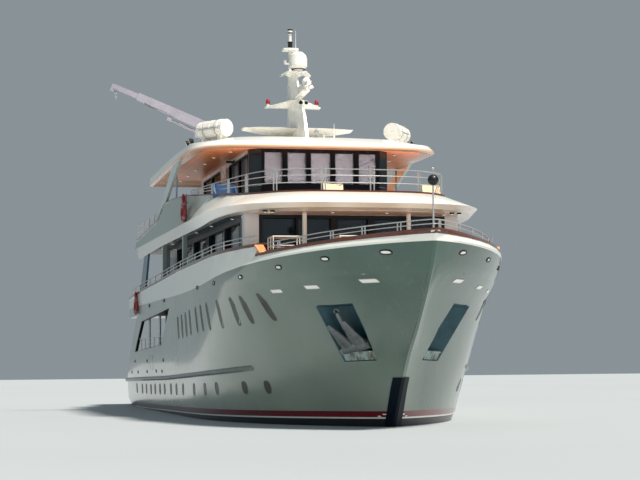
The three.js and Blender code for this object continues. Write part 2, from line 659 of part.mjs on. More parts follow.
const POST = 110; // half width of a deck post, with its fairing
function makeBridgeDeck() {
  const ledge = BRIDGE_DECK_Z + GAP;
  const gutter = bandLoft((x) => [
    [600, 6700],
    [200, readOff(BAND_BOTTOM, x)],
    [0, BAND_KNEE_Z],
    [120, BAND_KNEE_Z],
    [120, ledge],
    [600, ledge],
  ]);
  const wall = bandLoft((x) => {
    const top = readOff(BAND_TOP, x);
    const inset = bandInset(x);
    return [[60, ledge], [0, BAND_KNEE_Z], [inset, top], [inset + 110, top], [inset + 110, ledge]];
  });
  const posts = [];
  for (const [, flip] of SIDES) {
    for (const x of [1900, -3400]) {
      const foot = readOff(SIDE_TOP, x) + CAP_HEIGHT + 2 * GAP;
      posts.push(flip(boxSolid(x - POST, x + POST, -4350, -4200, foot + 12, 6800)));
    }
  }
  const band = joinAll([gutter, wall, ...posts]);
  add("bridge_band", band, "upperWhite");
  const slab = planPlate(bandOutline(() => 600 + GAP), BRIDGE_DECK_Z - DECK_THICK, BRIDGE_DECK_Z);
  const foreposts = SIDES.map(([, flip]) => flip(rod([10530, -1730, UPPER_DECK_Z + TEAK + GAP], [10530, -1730, 6800], 75, 12)));
  add("bridge_deck", joinAll([slab, ...foreposts]), "upperWhite");
  const teak = planPlate(bandOutline((x) => bandInset(x) + 115), BRIDGE_DECK_Z + GAP, BRIDGE_DECK_Z + TEAK)
    .subtract(wheelhousePlan(-GAP, BRIDGE_DECK_Z - 50, BRIDGE_DECK_Z + 500));
  add("bridge_teak", teak, "teak");
  const cap = bandLoft((x) => {
    const z = readOff(BAND_TOP, x) + GAP;
    const inset = bandInset(x);
    return [[inset - 35, z], [inset + 150, z], [inset + 150, z + 45], [inset - 35, z + 45]];
  });
  add("bridge_cap", seat(cap, "bridge_band"), "capWood");
  const capTop = (x) => readOff(BAND_TOP, x) + 45 + 2 * GAP;
  const inner = bandStations.map(({ x, at }) => at(bandInset(x) + 60));
  const front = halfToFull(inner.slice(BAND_X.length - 1));
  const foreRail = railOn(front, { foot: capTop, top: () => 8060, bars: [1], every: 1600, pair: 120 });
  add("bridge_rail_fore", seat(foreRail, "bridge_cap"), "steel");
  const quarter = [...inner.slice(1, 4).reverse(), [-10580, -4430], [-10620, -4330]];
  const aftRail = railOn([...quarter, ...quarter.map(([x, y]) => [x, -y]).reverse()], {
    foot: (x) => (x < -10600 ? BRIDGE_DECK_Z + TEAK + 2 * GAP : capTop(x)),
    top: () => 7930,
    bars: [1],
    every: 1530,
  });
  add("bridge_rail_aft", seat(seat(aftRail, "bridge_cap"), "bridge_band"), "steel");
}

// Fins that stiffen the overhangs, raked aft. Columns: x, z.
const LOWER_FIN = [[-9050, 5060], [-10750, 5020], [-9150, 6640], [-7950, 6640]];
const UPPER_FIN = [[-4750, 7550], [-3800, 7623], [-2650, 7910], [1950, 9440], [100, 9440]];
function makeFins() {
  for (const [name, flip] of SIDES) {
    const low = seat(seat(sidePlate(LOWER_FIN, -4320, -4235), "cap_rail_starboard"), "bridge_band", [0, 0, -GAP]);
    add("fin_lower_" + name, flip(low), "navy");
    const high = seat(seat(sidePlate(UPPER_FIN, -4440, -4345), "bridge_cap"), "hardtop", [0, 0, -GAP]);
    add("fin_upper_" + name, flip(high), "upperWhite");
  }
}

// Wheelhouse on the bridge deck
const HOUSE = { fore: 5520, aft: -5200, half: 2500, flat: 2150, cut: 350, wall: 100, top: 9400 };
function wheelhousePlan(inset, z0, z1) {
  const { fore, aft, half, flat, cut } = HOUSE;
  const slope = inset * 0.414;
  const outline = [
    [aft + inset, -half + inset],
    [fore - cut - slope, -half + inset],
    [fore - inset, -flat + slope],
    [fore - inset, flat - slope],
    [fore - cut - slope, half - inset],
    [aft + inset, half - inset],
  ];
  return planPlate(outline, z0, z1);
}
const DOOR = { fore: 450, aft: -450, sill: BRIDGE_DECK_Z + TEAK + 20, head: 8880 };
function makeWheelhouse() {
  const { aft, wall, top } = HOUSE;
  const floor = BRIDGE_DECK_Z + GAP;
  let walls = wheelhousePlan(0, floor, top - GAP).subtract(wheelhousePlan(wall, floor - 1, top));
  for (const [y0, y1] of [[-2020, -1370], [-1200, -520], [-360, 360], [520, 1200], [1370, 2020]]) {
    walls = walls.subtract(boxSolid(5200, 6000, y0, y1, 8150, 9260));
  }
  for (const [x0, x1] of [[3300, 4950], [1300, 3100], [-2500, -800], [-4500, -2750]]) {
    walls = walls.subtract(boxSolid(x0, x1, -FAR, FAR, 8000, 9200));
  }
  walls = walls.subtract(boxSolid(DOOR.aft - 6, DOOR.fore + 6, -FAR, FAR, DOOR.sill - GAP, DOOR.head + 8));
  walls = walls.subtract(boxSolid(aft - 500, aft + 500, -900, 900, DOOR.sill - 8, 8950));
  add("wheelhouse_walls", walls, "upperWhite");
  const sheet = 24;
  const glass = wheelhousePlan(wall + GAP, 7950, 9320)
    .subtract(wheelhousePlan(wall + GAP + sheet, 7000, 9999))
    .subtract(boxSolid(-FAR, 700, -FAR, FAR, 0, FAR));
  add("wheelhouse_glass", glass, "glass");
  for (const [name, flip] of SIDES) {
    const leaf = boxSolid(DOOR.aft, DOOR.fore, -HOUSE.half + 5, -HOUSE.half + 60, DOOR.sill, DOOR.head)
      .subtract(boxSolid(DOOR.aft + 150, DOOR.fore - 150, -FAR, FAR, 7900, 8700));
    add("wheelhouse_door_" + name, flip(leaf), "capWood");
  }
  const desk = sidePlate([[4270, floor], [5120, floor], [5120, 8050], [4620, 8050], [4170, 7780], [4170, 7600], [4270, 7500]], -1700, 1700);
  add("helm_console", desk, "capWood");
}

// Hardtop over the bridge deck. Plan: straight sides, rounded front.
const ROOF = { start: 1000, reach: 5500, half: 4480, power: 5.5, aft: -6400 };
const ROOF_EDGE = [[-6400, 9600], [-3000, 9690], [500, 9740], [3500, 9740], [6500, 9580]];
const ROOF_LOW = [[-6400, 9200], [-1500, 9330], [3000, 9370], [6500, 9280]];
const ROOF_TOP_Z = 10030;
// One ring of the roof, taken in by inset at its sides and by corner at its front.
function roofRing(inset, height, corner = inset) {
  const { start, reach, half, power, aft } = ROOF;
  const points = [-6400, -4800, -3000, -1000].map((x) => [Math.max(x, aft + inset), -(half - inset)]);
  for (let i = 0; i <= 10; i++) {
    const angle = (1 - i / 10) * (Math.PI / 2);
    const taken = mix(inset, corner, smooth(i / 4));
    const x = start + (reach - taken) * Math.cos(angle) ** (2 / power);
    points.push([x, i === 10 ? 0 : -(half - taken) * Math.sin(angle) ** (2 / power)]);
  }
  const port = points.slice(0, -1).reverse().map(([x, y]) => [x, -y]);
  return [...points, ...port].map(([x, y]) => [x, y, height(x)]);
}
function makeHardtop() {
  const crown = (share) => (x) => mix(readOff(ROOF_EDGE, x), ROOF_TOP_Z, share);
  const rings = [
    roofRing(420, () => HOUSE.top),
    roofRing(130, (x) => readOff(ROOF_LOW, x)),
    roofRing(10, (x) => readOff(ROOF_LOW, x) + 40),
    roofRing(0, (x) => readOff(ROOF_LOW, x) + 90),
    roofRing(40, (x) => readOff(ROOF_EDGE, x) - 50, 180),
    roofRing(110, (x) => readOff(ROOF_EDGE, x), 450),
    roofRing(1100, crown(0.45)),
    roofRing(2200, crown(0.85)),
    roofRing(3000, () => ROOF_TOP_Z),
  ];
  add("hardtop", ringLoft(rings), "upperWhite");
}

// Mast: column, three wings and a pole, one welded piece
const RADAR_X = 3020;
const RADAR_Z = 11880; // top of the bracket that carries the turning radar
function makeMast() {
  const foot = ROOF_TOP_Z + GAP;
  // Columns: z, aft x, fore x, half width
  const levels = [[foot, 200, 3450, 250], [10950, 280, 3050, 230], [11650, 360, 2420, 200], [12900, 450, 1500, 150]];
  const column = ringLoft(
    levels.map(([z, aft, fore, half]) => {
      const shape = [[0, 0.12], [0.18, 0.75], [0.45, 1], [0.75, 0.8], [1, 0.2]];
      const side = shape.map(([t, w]) => [mix(aft, fore, t), -w * half, z]);
      return [...side, ...side.map(([x, y, zz]) => [x, -y, zz]).reverse()];
    }),
  );
  // A wing across the mast. Each row: y, aft x, fore x, lower z, upper z.
  const wing = (rows) => {
    const half = rows.map(([y, aft, fore, low, high]) => [
      [aft, -y, mix(low, high, 0.5)],
      [mix(aft, fore, 0.35), -y, low],
      [fore, -y, mix(low, high, 0.55)],
      [mix(aft, fore, 0.4), -y, high],
    ]);
    return ringLoft([...half, ...half.slice(0, -1).reverse().map((r) => r.map(([x, y, z]) => [x, -y, z]))]);
  };
  const lower = wing([[2080, 1400, 2050, 10530, 10640], [1400, 1150, 2300, 10410, 10690], [0, 900, 2650, 10310, 10700]]);
  const middle = wing([[1060, 700, 1150, 11500, 11560], [0, 450, 2250, 11480, 11860]]);
  const upper = wing([[560, 1250, 1700, 12620, 12690], [330, 1000, 1950, 12720, 12850], [0, 600, 2050, 12600, 12850]]);
  const bracket = sidePlate(
    [[1400, 11700], [2300, 11760], [3250, 11820], [3250, RADAR_Z], [1400, RADAR_Z]],
    -150,
    150,
  );
  const pole = rod([620, 0, 12700], [600, 0, 14590], 80, 10, 50);
  const shelf = planPlate([[420, -290], [780, -290], [860, -120], [860, 120], [780, 290], [420, 290]], 13770, 13850);
  const sideArm = boxSolid(560, 640, -230, 0, 13250, 13300);
  const lamps = [[0, 13840, 14140, 85], [0, 14420, 14610, 90]].map(([y, z0, z1, r]) => rod([600, y, z0], [600, y, z1], r, 12));
  const sideLamp = rod([600, -200, 13290], [600, -200, 13420], 60, 10);
  const domeStand = rod([1600, 80, 12700], [1600, 80, 12900], 200, 14);
  const lampsOnWing = SIDES.map(([, flip]) => flip(rod([920, -940, 11520], [920, -940, 11760], 60, 10)));
  const mast = joinAll([column, lower, middle, upper, bracket, pole, shelf, sideArm, ...lamps, sideLamp, domeStand, ...lampsOnWing]);
  add("mast", mast, "upperWhite");
  const shell = [[0, 0], [260, 0], [345, 90], [350, 380], [305, 530], [185, 640], [0, 680]];
  const dome = solidOf(new THREE.LatheGeometry(shell.map(([r, z]) => new THREE.Vector2(r, z)), 20));
  add("satcom_dome", place(dome, { at: [1600, 80, 12900 + GAP], turn: [Math.PI / 2, 0, 0] }), "canister");
  const scanner = joinAll([
    rod([RADAR_X, 0, RADAR_Z + GAP], [RADAR_X, 0, RADAR_Z + 130], 120, 14),
    boxSolid(RADAR_X - 800, RADAR_X + 800, -75, 75, RADAR_Z + 110, RADAR_Z + 230),
  ]);
  add("radar_scanner", scanner, "canister");
}

function makeLifeRafts() {
  const radius = 320;
  const length = 1280;
  const ribs = [-400, 0, 400].map((y) => rod([0, y - 35, 0], [0, y + 35, 0], radius + 14, 14));
  const body = joinAll([
    rod([0, -length / 2, 0], [0, length / 2, 0], radius, 14),
    ...ribs,
    boxSolid(-200, 200, -480, -360, -560, -100),
    boxSolid(-200, 200, 360, 480, -560, -100),
  ]);
  const middle = [3380, -3410, 10310];
  const turned = place(body, { at: middle, turn: [0, 0, -0.98] });
  const roof = parts.getObjectByName("hardtop").geometry;
  const cut = solidOf(roof).translate([0, 0, GAP]);
  for (const [name, flip] of SIDES) add("life_raft_" + name, flip(turned).subtract(cut), "canister");
}

// Crane on the roof. Its turning pieces keep a clear gap.
const CRANE = { x: -3000, y: -2700, ring: 10830, pivot: 11330, rise: 0.4, aim: -0.12 };
function makeCrane() {
  const { x, y, ring, pivot, rise, aim } = CRANE;
  const roof = solidOf(parts.getObjectByName("hardtop").geometry).translate([0, 0, GAP]);
  const base = rod([x, y, 9800], [x, y, ring], 230, 20, 190).subtract(roof)
    .add(rod([x, y, ring - 60], [x, y, ring], 260, 20));
  add("crane_base", base, "upperWhite");
  // The head, boom and cylinder are drawn with the boom along -Y, then swung by aim about the post.
  const swing = (solid) => place(place(solid, { at: [-x, -y, 0] }), { at: [x, y, 0], turn: [0, 0, aim] });
  const cheek = (side) => boxSolid(x + side * 175 - 35, x + side * 175 + 35, y - 170, y + 190, ring + 100, pivot + 150);
  const foot = joinAll([
    rod([x, y, ring + GAP], [x, y, ring + 130], 250, 20),
    cheek(-1),
    cheek(1),
    rod([x - 150, y, pivot], [x + 150, y, pivot], 60, 14),
    boxSolid(x - 110, x + 110, y - 420, y - 100, ring + 40, ring + 130),
    boxSolid(x - 110, x - 70, y - 420, y - 260, ring + 40, ring + 330),
    boxSolid(x + 70, x + 110, y - 420, y - 260, ring + 40, ring + 330),
    rod([x - 100, y - 340, ring + 250], [x + 100, y - 340, ring + 250], 35, 12),
  ]);
  add("crane_head", swing(foot), "upperWhite");
  const lift = (solid) => place(place(solid, { at: [-x, -y, -pivot] }), { at: [x, y, pivot], turn: [-rise, 0, 0] });
  const boomBody = joinAll([
    ringLoft([
      [[-120, 160], [120, 160], [120, -170], [-120, -170]].map(([dx, dz]) => [x + dx, y + 240, pivot + dz]),
      [[-120, 165], [120, 165], [120, -210], [-120, -210]].map(([dx, dz]) => [x + dx, y - 500, pivot + dz]),
      [[-95, 170], [95, 170], [95, -120], [-95, -120]].map(([dx, dz]) => [x + dx, y - 2900, pivot + dz]),
    ]),
    boxSolid(x - 70, x + 70, y - 3900, y - 2880, pivot - 70, pivot + 120),
    boxSolid(x - 60, x + 60, y - 4000, y - 3860, pivot - 190, pivot + 100),
    boxSolid(x - 75, x - 45, y - 1490, y - 1310, pivot - 400, pivot - 150),
    boxSolid(x + 45, x + 75, y - 1490, y - 1310, pivot - 400, pivot - 150),
    rod([x - 140 + GAP, y, pivot], [x + 140 - GAP, y, pivot], 130, 16),
  ]).subtract(rod([x - 300, y, pivot], [x + 300, y, pivot], 60 + 6, 14));
  add("crane_boom", swing(lift(boomBody)), "upperWhite");
  // Cylinder between the head's pin and the boom's pin.
  const low = new THREE.Vector3(x, y - 340, ring + 250);
  const reach = new THREE.Vector3(0, -1400, -330).applyEuler(new THREE.Euler(-rise, 0, 0));
  const high = new THREE.Vector3(x, y + reach.y, pivot + reach.z);
  const along = high.clone().sub(low);
  const point = (t) => low.clone().addScaledVector(along, t).toArray();
  const eye = (p, radius, half) =>
    rod([p.x - half, p.y, p.z], [p.x + half, p.y, p.z], radius, 14);
  const hole = (p, radius) => rod([p.x - 80, p.y, p.z], [p.x + 80, p.y, p.z], radius, 12);
  const barrel = joinAll([eye(low, 75, 70 - GAP), rod(point(0.05), point(0.66), 62, 14)])
    .subtract(hole(low, 41))
    .subtract(rod(point(0.12), point(0.8), 34.4, 12));
  const piston = joinAll([eye(high, 62, 32), rod(point(0.25), point(0.97), 34, 12)]).subtract(hole(high, 36));
  add("crane_cylinder", swing(barrel), "upperWhite");
  add("crane_rod", swing(piston), "steel");
}

// Anchor stowed in the starboard pocket, held by its shank at the top face
function makeAnchor() {
  const top = [15230, -1850, 3680];
  const crown = [14960, -1130, 2350];
  const shank = ringLoft([
    [[-70, -70], [70, -70], [70, 70], [-70, 70]].map(([dx, dy]) => [top[0] + dx, top[1] + dy, top[2]]),
    [[-85, -85], [85, -85], [85, 85], [-85, 85]].map(([dx, dy]) => [crown[0] + dx, crown[1] + dy, crown[2]]),
  ]);
  const head = place(boxSolid(-330, 330, -120, 120, -140, 110), { at: crown, turn: [0, 0, -0.45] });
  const fluke = (side) =>
    place(
      ringLoft([
        [[-150, -60], [150, -60], [150, 60], [-150, 60]].map(([dx, dy]) => [side * 210 + dx, dy, -60]),
        [[-40, -20], [40, -20], [40, 20], [-40, 20]].map(([dx, dy]) => [side * 270 + dx, dy - 20, 640]),
      ]),
      { at: crown, turn: [0.42, 0.3, -0.45] },
    );
  add("anchor_starboard", seat(joinAll([shank, head, fluke(-1), fluke(1)]), "hull", [0, 0, -GAP]), "galvanised");
}

function makeUpperTeak() {
  const { fore, aft, half } = SALOON;
  const inside = ringLoft(WATERLINES.slice(-5).map((row) => skinRing(row, PLATE + 14)));
  const sheet = inside
    .intersect(boxSolid(-16190, 18500, -FAR, FAR, UPPER_DECK_Z + GAP, UPPER_DECK_Z + TEAK))
    .subtract(boxSolid(aft - GAP, fore + GAP, -half - GAP, half + GAP, 4000, 5000));
  add("upper_teak", sheet, "teak");
}

makeHull();
makeTerraceSides();
makeUpperDeckAft();
makeBulwarks();
makeSternGear();
makeSkinPieces();
makeSwimPlatform();
makeHullRails();
makeTerraceRails();
makeUpperTeak();
makeSaloon();
makeBridgeDeck();
makeWheelhouse();
makeHardtop();
makeFins();
makeMast();
makeLifeRafts();
makeCrane();
makeAnchor();

export default parts;
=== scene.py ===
# %% [markdown]
# This lesson dresses a four-deck steel motor yacht of about 38 m.

# %% Load the frame
import json
import math

import bmesh
import bpy
from mathutils import Matrix, Vector
from mathutils.bvhtree import BVHTree


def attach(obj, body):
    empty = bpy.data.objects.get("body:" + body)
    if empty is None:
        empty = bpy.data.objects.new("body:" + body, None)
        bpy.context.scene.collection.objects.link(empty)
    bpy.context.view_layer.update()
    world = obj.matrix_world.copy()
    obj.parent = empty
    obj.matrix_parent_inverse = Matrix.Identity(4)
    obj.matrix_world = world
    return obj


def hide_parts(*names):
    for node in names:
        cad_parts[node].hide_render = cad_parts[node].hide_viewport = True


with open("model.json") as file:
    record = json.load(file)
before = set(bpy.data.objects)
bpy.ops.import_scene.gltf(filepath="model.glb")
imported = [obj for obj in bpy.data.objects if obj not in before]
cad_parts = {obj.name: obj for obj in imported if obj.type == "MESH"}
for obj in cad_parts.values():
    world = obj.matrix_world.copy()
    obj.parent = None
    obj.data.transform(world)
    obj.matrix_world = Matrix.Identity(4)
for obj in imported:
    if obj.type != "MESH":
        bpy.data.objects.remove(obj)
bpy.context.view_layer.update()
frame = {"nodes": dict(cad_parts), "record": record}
nodes = frame["nodes"]
YACHT = "yacht"  # the body that everything fixed rides on

# %% [markdown]
# The photograph was taken from low down, ahead of the yacht and a little to starboard, with a long
# lens. The camera's place, aim and tilt were worked out by matching points of the hull with the
# picture. A camera in Blender looks along its own -Z axis, so its matrix has the right, up and
# backward directions as columns.

# %% Camera
CAMERA_AT = Vector((63.3417, -13.6475, 1.9428))
YAW, PITCH, ROLL = 0.2310, 0.0714, -0.0081
FOCAL_PIXELS = 1700  # focal length in pixels of a picture that is PICTURE_WIDTH wide
PICTURE_WIDTH = 640
SENSOR = 36  # width of the sensor in millimetres
FARTHEST = 500  # metres, beyond which the camera sees nothing

ahead = Vector((-math.cos(YAW) * math.cos(PITCH), math.sin(YAW) * math.cos(PITCH), math.sin(PITCH)))
level_right = Vector((math.sin(YAW), math.cos(YAW), 0))
level_up = level_right.cross(ahead)
right = level_right * math.cos(ROLL) + level_up * math.sin(ROLL)
up = level_up * math.cos(ROLL) - level_right * math.sin(ROLL)
camera = bpy.data.objects.new("camera", bpy.data.cameras.new("camera"))
camera.data.sensor_width = SENSOR
camera.data.lens = FOCAL_PIXELS / PICTURE_WIDTH * SENSOR
camera.data.clip_end = FARTHEST
turned_to = Matrix((right, up, -ahead)).transposed().to_4x4()
camera.matrix_world = Matrix.Translation(CAMERA_AT) @ turned_to
bpy.context.collection.objects.link(camera)
bpy.context.scene.camera = camera
print("lens", round(camera.data.lens, 1), "mm")

# %% [markdown]
# Finishes are made from Blender's shader nodes. Nearly all of them start in the same way: a Principled
# shader, the object's own coordinates in metres, and some noise that varies the colour, roughness or
# height a little, because no real surface is one flat colour. The small class below wraps those steps,
# so that each finish can be written in a few lines. It is a class and not a set of functions because
# every step needs the same node tree.


# %% A helper for finishes
class Finish:
    """A material with one Principled shader and nodes that feed it."""

    def __init__(self, name, roughness=0.4, metallic=0.0):
        self.material = bpy.data.materials.new(name)
        self.material.use_nodes = True
        self.tree = self.material.node_tree
        self.shader = self.tree.nodes["Principled BSDF"]
        self.set("Roughness", roughness)
        self.set("Metallic", metallic)
        self.place = self.tree.nodes.new("ShaderNodeTexCoord").outputs["Object"]

    def set(self, socket, value):
        self.shader.inputs[socket].default_value = value
        return self

    def node(self, kind, settings=None, **inputs):
        """A new node. Its inputs go by name, or as i0, i1 by number."""
        made = self.tree.nodes.new("ShaderNode" + kind)
        for key, value in (settings or {}).items():
            setattr(made, key, value)
        for key, value in inputs.items():
            self.feed(made.inputs[int(key[1:]) if key[0] == "i" and key[1:].isdigit() else key], value)
        return made

    def feed(self, socket, value):
        if isinstance(value, bpy.types.NodeSocket):
            self.tree.links.new(value, socket)
        else:
            socket.default_value = value

    def math(self, operation, a, b=0.0, clamp=False):
        return self.node("Math", {"operation": operation, "use_clamp": clamp}, i0=a, i1=b).outputs[0]

    def noise(self, scale, detail=4.0, stretch=(1, 1, 1), rough=0.5):
        moved = self.node("Mapping", Vector=self.place, Scale=stretch).outputs[0]
        made = self.node("TexNoise", Vector=moved, Scale=scale, Detail=detail, Roughness=rough)
        return made.outputs["Fac"]

    def mix(self, share, a, b):
        made = self.node("Mix", {"data_type": "RGBA"})
        self.feed(made.inputs["Factor"], share)
        self.feed(made.inputs[6], a)
        self.feed(made.inputs[7], b)
        return made.outputs[2]

    def span(self, value, low, high, to_low=0.0, to_high=1.0):
        """The value's range from low to high, stretched to another one and cut off beyond it."""
        made = self.node("MapRange", {"clamp": True}, Value=value)
        for key, number in zip(("From Min", "From Max", "To Min", "To Max"), (low, high, to_low, to_high)):
            made.inputs[key].default_value = number
        return made.outputs[0]

    def axis(self, name):
        if not hasattr(self, "split"):
            self.split = self.node("SeparateXYZ", Vector=self.place)
        return self.split.outputs[name]

    def facing(self, name):
        """How far the surface faces along an axis, from -1 to 1."""
        normal = self.tree.nodes["Texture Coordinate"].outputs["Normal"]
        return self.node("SeparateXYZ", Vector=normal).outputs[name]

    def colour(self, source):
        self.feed(self.shader.inputs["Base Color"], source)
        return self

    def colour_by_x(self, low_x, high_x, aft, fore):
        """One colour aft of low_x and another forward of high_x."""
        return self.colour(self.mix(self.span(self.axis("X"), low_x, high_x), aft, fore))

    def coat(self, weight, roughness=0.03):
        """Clear lacquer over the paint."""
        self.set("Coat Weight", weight)
        return self.set("Coat Roughness", roughness)

    def rough(self, source):
        self.feed(self.shader.inputs["Roughness"], source)
        return self

    def bump(self, height, distance, strength=1.0):
        made = self.node("Bump", Height=height, Distance=distance, Strength=strength)
        self.feed(self.shader.inputs["Normal"], made.outputs[0])
        return self


def rgb(red, green, blue):
    """A colour given as it looks on a screen, 0 to 255, turned into the shader's linear values."""
    shown = [c / 255 for c in (red, green, blue)]
    return (*[c / 12.92 if c <= 0.04045 else ((c + 0.055) / 1.055) ** 2.4 for c in shown], 1.0)


print("white is", [round(c, 2) for c in rgb(255, 255, 255)])

# %% [markdown]
# The hull is painted steel. It is a glossy white, but what it mirrors is dark and green, and this scene
# has only a plain sky and floor. So part of those reflections, and part of the shade on the hull, is
# painted in, by place: a grey-green of painted reflection and shade on the sides, a deeper green of
# painted shade and reflection where the bow flares out and faces down, and a darker painted shade on
# the port bow, under the flare. Seen from other sides than the camera's, they show as paint. Above the
# knuckle the plating is plain white. Around the waterline run dark bottom paint, a thin white line and
# a crimson band. They are drawn by height, straight from the coordinates, because they are struck as
# level planes around the ship, and they tilt slightly, as the ship floats a little down at the stern.
# Steel plating is never perfectly fair: a large, very shallow bump makes the gloss wander, and thin
# streaks run down where rain water drains.

# %% Hull paint
BAND_TILT = 0.009  # rise of the bands per metre along the ship
BAND_X = 15.0  # where along the ship the heights of the bands hold
WHITE_LINE = 0.245
CRIMSON_LOW = 0.29
CRIMSON_HIGH = 0.47
KNUCKLE_LOW = 4.42  # height of the knuckle amidships, where the hull's flare ends
KNUCKLE_RISE = 0.81  # how much higher it stands at KNUCKLE_REACH
KNUCKLE_REACH = 21.0

hull_finish = Finish("hull_paint", roughness=0.22)
hull_x, hull_y, hull_z = (hull_finish.axis(name) for name in "XYZ")
lean = hull_finish.math("MULTIPLY", hull_finish.math("SUBTRACT", hull_x, BAND_X), BAND_TILT)
level = hull_finish.math("SUBTRACT", hull_z, lean)
cloud = hull_finish.noise(0.5, 3)
soft_patches = hull_finish.span(cloud, 0.3, 0.7)
# painted reflection and shade: grey-green on the white sides
topside = hull_finish.mix(soft_patches, rgb(166, 174, 162), rgb(152, 162, 150))
# painted shade and reflection: a deeper green where the bow's flare faces down
flare = hull_finish.mix(soft_patches, rgb(70, 98, 88), rgb(56, 84, 74))
toward_bow = hull_finish.span(hull_x, 4.0, 17.0)
upward = hull_finish.span(hull_z, 0.5, 4.0, 0.55, 1.0)
topside = hull_finish.mix(hull_finish.math("MULTIPLY", toward_bow, upward), topside, flare)
# painted shade on the port bow, under the flare
bow_share = hull_finish.span(hull_x, 8.0, 13.0, 0.0, 0.75)
port_bow_shade = hull_finish.math("MULTIPLY", bow_share, hull_finish.span(hull_y, 0.1, 1.0))
topside = hull_finish.mix(port_bow_shade, topside, rgb(62, 84, 76))
streak = hull_finish.noise(2.2, 5, stretch=(3, 3, 0.12))
topside = hull_finish.mix(hull_finish.span(streak, 0.58, 0.8, 0, 0.25), topside, rgb(128, 130, 116))
sheer = hull_finish.node("MapRange", {"interpolation_type": "SMOOTHSTEP"}, Value=hull_x)
sheer.inputs["From Max"].default_value = KNUCKLE_REACH
risen = hull_finish.math("MULTIPLY", hull_finish.math("POWER", sheer.outputs[0], 1.3), KNUCKLE_RISE)
knuckle = hull_finish.math("SUBTRACT", hull_finish.math("SUBTRACT", hull_z, risen), KNUCKLE_LOW)
topside = hull_finish.mix(hull_finish.span(knuckle, 0.0, 0.012), topside, rgb(238, 240, 232))
zones = hull_finish.mix(hull_finish.span(cloud, 0.35, 0.65), rgb(8, 14, 22), rgb(16, 24, 30))
for height, shade in (
    (WHITE_LINE, rgb(225, 228, 222)), (CRIMSON_LOW, rgb(104, 4, 20)), (CRIMSON_HIGH, topside)
):
    zones = hull_finish.mix(hull_finish.math("GREATER_THAN", level, height), zones, shade)
hull_finish.colour(zones)
above_bottom = hull_finish.math("GREATER_THAN", level, WHITE_LINE)
hull_finish.rough(hull_finish.span(above_bottom, 0, 1, 0.6, 0.22))
hull_finish.bump(hull_finish.noise(0.9, 2), 0.006, 0.5)
hull_finish.coat(0.5, 0.08)
print("crimson band from", CRIMSON_LOW, "to", CRIMSON_HIGH, "m above the water at x =", BAND_X)

# %% [markdown]
# The upper works are sprayed in a warmer, glossier white, with the fine bump of orange peel and a little
# grey dust in soft patches. Two parts again carry painted light and shade by place. The sides of the
# bridge deck's band are grey-green aft, which is painted shade and reflection, darker still where they
# look down, which is painted shade, and turn white towards the bow. The hardtop is warm below its lip,
# a painted glow that stands for the light from the decks. All smaller painted pieces get two close shades.


# %% Paint of the upper works
def sprayed(name):
    """A glossy paint with the fine bump of orange peel. Its colour is added by the caller."""
    made = Finish(name, roughness=0.25)
    made.bump(made.noise(90, 2), 0.0006, 0.25)
    return made.coat(0.4, 0.06)


def plain_paint(name, first, second, roughness, coat=0.3, scale=2.0):
    """Paint in two close shades, for smaller painted pieces."""
    made = Finish(name, roughness=roughness)
    made.colour(made.mix(made.span(made.noise(scale, 5), 0.35, 0.7), first, second))
    made.bump(made.noise(60, 2), 0.0006, 0.3)
    return made.coat(coat)


UPPER_WHITES = (rgb(240, 238, 231), rgb(226, 224, 216))  # clean and dusty

upper_finish = sprayed("upper_paint")
dust = upper_finish.noise(1.4, 6)
upper_finish.colour(upper_finish.mix(upper_finish.span(dust, 0.5, 0.8, 0, 0.15), *UPPER_WHITES))
upper_finish.rough(upper_finish.span(dust, 0.3, 0.7, 0.18, 0.34))

band_finish = sprayed("bridge_band_paint")
# painted shade: the band's sides are grey-green aft and darker where they face down
band_downward_shade = band_finish.span(band_finish.facing("Z"), -0.5, -0.03)
band_aft_shade = band_finish.mix(band_downward_shade, rgb(96, 112, 108), rgb(140, 155, 145))
band_finish.colour_by_x(3.0, 9.0, band_aft_shade, rgb(244, 242, 235))

roof_finish = sprayed("hardtop_paint")
# painted bounce light: warm peach on the hardtop below its lip
lip_aft = roof_finish.span(roof_finish.axis("X"), -6.4, 3.0, 9.30, 9.49)
lip_fore = roof_finish.span(roof_finish.axis("X"), 3.0, 6.5, 9.49, 9.43)
lip_top = roof_finish.math("MINIMUM", lip_aft, lip_fore)
lip_painted_glow = roof_finish.span(roof_finish.math("SUBTRACT", lip_top, roof_finish.axis("Z")), 0.0, 0.03)
roof_dust = roof_finish.span(roof_finish.noise(1.4, 6), 0.5, 0.8, 0, 0.4)
roof_white = roof_finish.mix(roof_dust, *UPPER_WHITES)
roof_finish.colour(roof_finish.mix(lip_painted_glow, roof_white, rgb(238, 190, 160)))

crane_finish = plain_paint("crane_paint", rgb(168, 164, 176), rgb(152, 149, 162), 0.35)
navy_finish = plain_paint("navy_paint", rgb(3, 18, 30), rgb(2, 12, 22), 0.5, 0.05)
navy_finish.set("Specular IOR Level", 0.2)
slate_finish = plain_paint("slate_paint", rgb(96, 118, 132), rgb(80, 102, 118), 0.35)
band_grey = plain_paint("rub_rail_paint", rgb(120, 130, 124), rgb(98, 110, 104), 0.45)
antifouling = plain_paint("bottom_paint", rgb(24, 33, 42), rgb(38, 47, 52), 0.65, 0.0, 6)
black_finish = plain_paint("black_plastic", rgb(6, 8, 11), rgb(12, 14, 18), 0.45, 0.05, 20)
canister_finish = plain_paint("white_moulding", rgb(238, 236, 230), rgb(222, 219, 210), 0.3, 0.3, 4)
red_finish = plain_paint("life_red", rgb(150, 24, 34), rgb(122, 16, 26), 0.5, 0.1, 8)
# painted shade: the dark blue-green inside the anchor pockets
pocket_shade_lining = plain_paint("pocket_lining", rgb(34, 78, 88), rgb(24, 60, 70), 0.5, 0.1, 3)
print("paints", len(bpy.data.materials))

